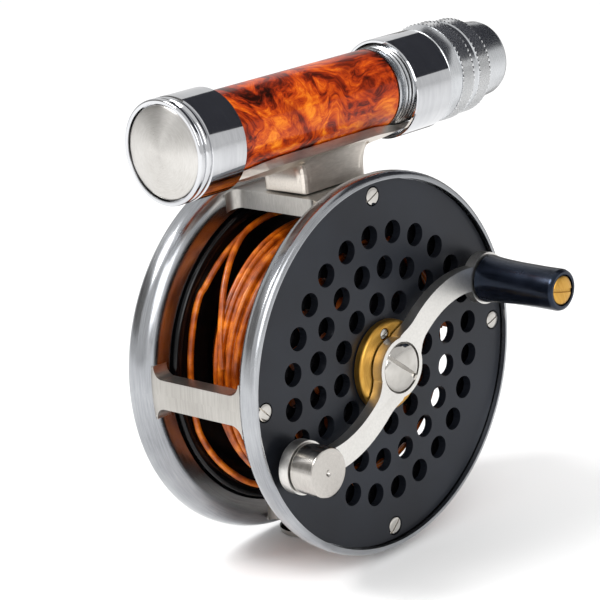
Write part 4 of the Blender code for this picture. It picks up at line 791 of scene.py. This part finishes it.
def nut():
    flare = [(9.6 + 0.5 * t * t, 32.5 + 2.5 * t) for t in (0.2, 0.4, 0.6, 0.8, 1.0)]
    body = turned("turned_lock_nut", [
        (8.6, 31.9), (9.45, 31.9), (9.6, 32.05), (9.6, 32.5), *flare, (9.9, 35.2), (9.6, 35.4), (9.6, 38.8),
        (9.75, 38.9), (9.6, 39.2), (9.6, 40.7), (9.75, 41.0), (9.2, 41.1), (9.2, 44.5), (8.6, 44.6),
        (8.55, 45.2), (7.85, 52.0), (7.6, 52.6), (7.2, 53.0), (6.8, 53.0), (6.8, 44.9), (8.6, 44.9)],
        "X", SEAT_AXIS, 96, tube=True)
    finished(body, "nut", TURNED_NICKEL, "polished_silver", "lock_nut", smooth=25)
    knurl("first_knurled_band", 35.2, 38.9, 10.4)
    knurl("second_knurled_band", 41.0, 44.6, 10.0)


def foot_flare():
    """The wide fillet that runs the foot's pedestal out into its saddle."""
    low, height, steps = 37.4, 6.0, 10
    half_x, half_y, corner = 8.85, 5.7, 2.2
    outline = []
    for across, up, start in ((1, 1, 0), (-1, 1, 90), (-1, -1, 180), (1, -1, 270)):
        middle = reel(across * (half_x - corner), SEAT_Y + up * (half_y - corner), low)
        for i in range(7):
            turn = math.radians(start + 15 * i)
            outline.append(middle + Vector((math.cos(turn), math.sin(turn), 0)) * corner * MM)
    mesh = bpy.data.meshes.new("foot_fillet")
    mesh.from_pydata(outline, [], [list(range(len(outline)))])
    flare = bpy.data.objects.new("foot_fillet", mesh)
    bpy.context.scene.collection.objects.link(flare)
    pick(flare)
    bpy.ops.object.mode_set(mode="EDIT")
    bpy.ops.mesh.select_all(action="SELECT")
    wide, deep = half_x, half_y
    for i in range(1, steps + 1):
        grow = 1 - math.sqrt(1 - (i / steps) ** 2)
        next_wide, next_deep = half_x + 3.2 * grow, half_y + 1.35 * grow
        bpy.ops.mesh.extrude_region_move(TRANSFORM_OT_translate={"value": (0, 0, height / steps * MM)})
        bpy.ops.transform.resize(value=(next_wide / wide, next_deep / deep, 1),
                                 center_override=reel(0, SEAT_Y, low))
        wide, deep = next_wide, next_deep
    bpy.ops.mesh.select_all(action="SELECT")
    bpy.ops.mesh.normals_make_consistent(inside=False)
    bpy.ops.object.mode_set(mode="OBJECT")
    for vertex in flare.data.vertices:
        share = (vertex.co.z - reel(0, 0, low).z) / (height * MM)
        side = (vertex.co.y - SEAT_AXIS.y) / MM
        under_saddle = SEAT_Z - math.sqrt(SADDLE_RADIUS ** 2 - side ** 2) - low
        vertex.co.z = reel(0, 0, low + under_saddle * share).z
    finished(flare, "frame", LINISHED_ALUMINIUM, "satin_aluminium", smooth=50)


def stud():
    profile = [(4.2, -40.2), (5.0, -40.1), (5.4, -39.8), (5.5, -39.4), (5.5, -38.8), (2.6, -38.8),
               (2.6, -37.1), (1.3, -37.1), (1.3, -34.2)]
    body = turned("turned_rest_stud", profile, "Z", reel(0, 25.0, 0), 48)
    finished(body, "frame", BRIGHT_STEEL, "steel", "rest_stud", smooth=35)


def finish_kept_nodes():
    """Nodes whose own shape shows get the finish of what they are made of."""
    kept = {"reel_foot": LINISHED_ALUMINIUM, "spool_arbor": GLOSS_ANODISED, "click_pawl": TURNED_BRASS}
    for name in ("spindle", "click_gear", "pawl_post", "spring_post_1", "spring_post_2", "pawl_spring",
                 "foot_screw_1", "foot_screw_2"):
        kept[name] = BRIGHT_STEEL
    for name, finish in kept.items():
        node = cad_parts[name]
        node.data.materials.clear()
        node.data.materials.append(finish)


# ---------------------------------------------------------------- stage


def studio():
    world = bpy.data.worlds.new("studio")
    world.use_nodes = True
    world.node_tree.nodes["Background"].inputs["Color"].default_value = (1, 1, 1, 1)
    world.node_tree.nodes["Background"].inputs["Strength"].default_value = 0.86
    bpy.context.scene.world = world
    bpy.context.scene.view_settings.view_transform = "Standard"

    deselect()
    bpy.ops.mesh.primitive_plane_add(size=6, location=(0, 0, reel(0, 0, FLOOR_HEIGHT).z))
    floor = bpy.context.active_object
    floor.name = "floor"
    made, _, shader = material("white_sweep")
    shader.inputs["Base Color"].default_value = linear("#fafafa")
    shader.inputs["Roughness"].default_value = 0.9
    floor.data.materials.append(made)

    cards = {}
    for name, colour in (("dark_card", "#35363b"), ("grey_card", "#6c6a68")):
        made, _, shader = material(name)
        shader.inputs["Base Color"].default_value = linear(colour)
        shader.inputs["Roughness"].default_value = 1.0
        shader.inputs["Specular IOR Level"].default_value = 0.0
        cards[name] = made
    middle = reel(0, 15, 20)
    seat_middle = reel(20, 15, 50)
    for name, shade_of, aim, direction, distance, size in (
        ("overhead_flag", "dark_card", seat_middle, (0.748, -0.132, 0.65), 0.4, (0.62, 0.4)),
        ("low_tip_flag", "grey_card", seat_middle, (0.75, 0.3, -0.42), 0.19, (0.16, 0.3)),
        ("butt_side_card", "grey_card", seat_middle, (-0.62, 0.7, 0.35), 0.45, (0.3, 0.3)),
    ):
        place = aim + Vector(direction).normalized() * distance
        bpy.ops.mesh.primitive_plane_add(size=1, location=place)
        flag = bpy.context.active_object
        flag.name = name
        flag.rotation_euler = (aim - place).to_track_quat("Z", "Y").to_euler()
        flag.scale = (size[0], size[1], 1)
        flag.data.materials.append(cards[shade_of])
        flag.visible_camera = False
        flag.visible_shadow = False
        flag.visible_diffuse = False

    for name, place, size, power in (
        ("key_softbox", (-0.5, 0.34, 0.72), 0.35, 6.0),
        ("front_softbox", (-0.45, -0.7, 0.45), 0.6, 4.0),
    ):
        light = bpy.data.lights.new(name, "AREA")
        light.size = size
        light.energy = power
        lamp = bpy.data.objects.new(name, light)
        bpy.context.scene.collection.objects.link(lamp)
        lamp.location = middle + Vector(place)
        lamp.rotation_euler = (-Vector(place)).to_track_quat("-Z", "Y").to_euler()


def camera():
    data = bpy.data.cameras.new("camera")
    data.sensor_width = 36
    data.lens = 148.69
    data.clip_start = 0.01
    made = bpy.data.objects.new("camera", data)
    bpy.context.scene.collection.objects.link(made)
    made.location = reel(-346.6, -313.7, 148.0)
    made.rotation_euler = [math.radians(a) for a in (74.005, 4.315, -47.177)]
    bpy.context.scene.camera = made


camera()
frame_pieces()
plates_and_screws()
bushes()
spool()
line()
crank()
seat()
nut()
foot_flare()
stud()
finish_kept_nodes()
studio()

bpy.context.view_layer.update()
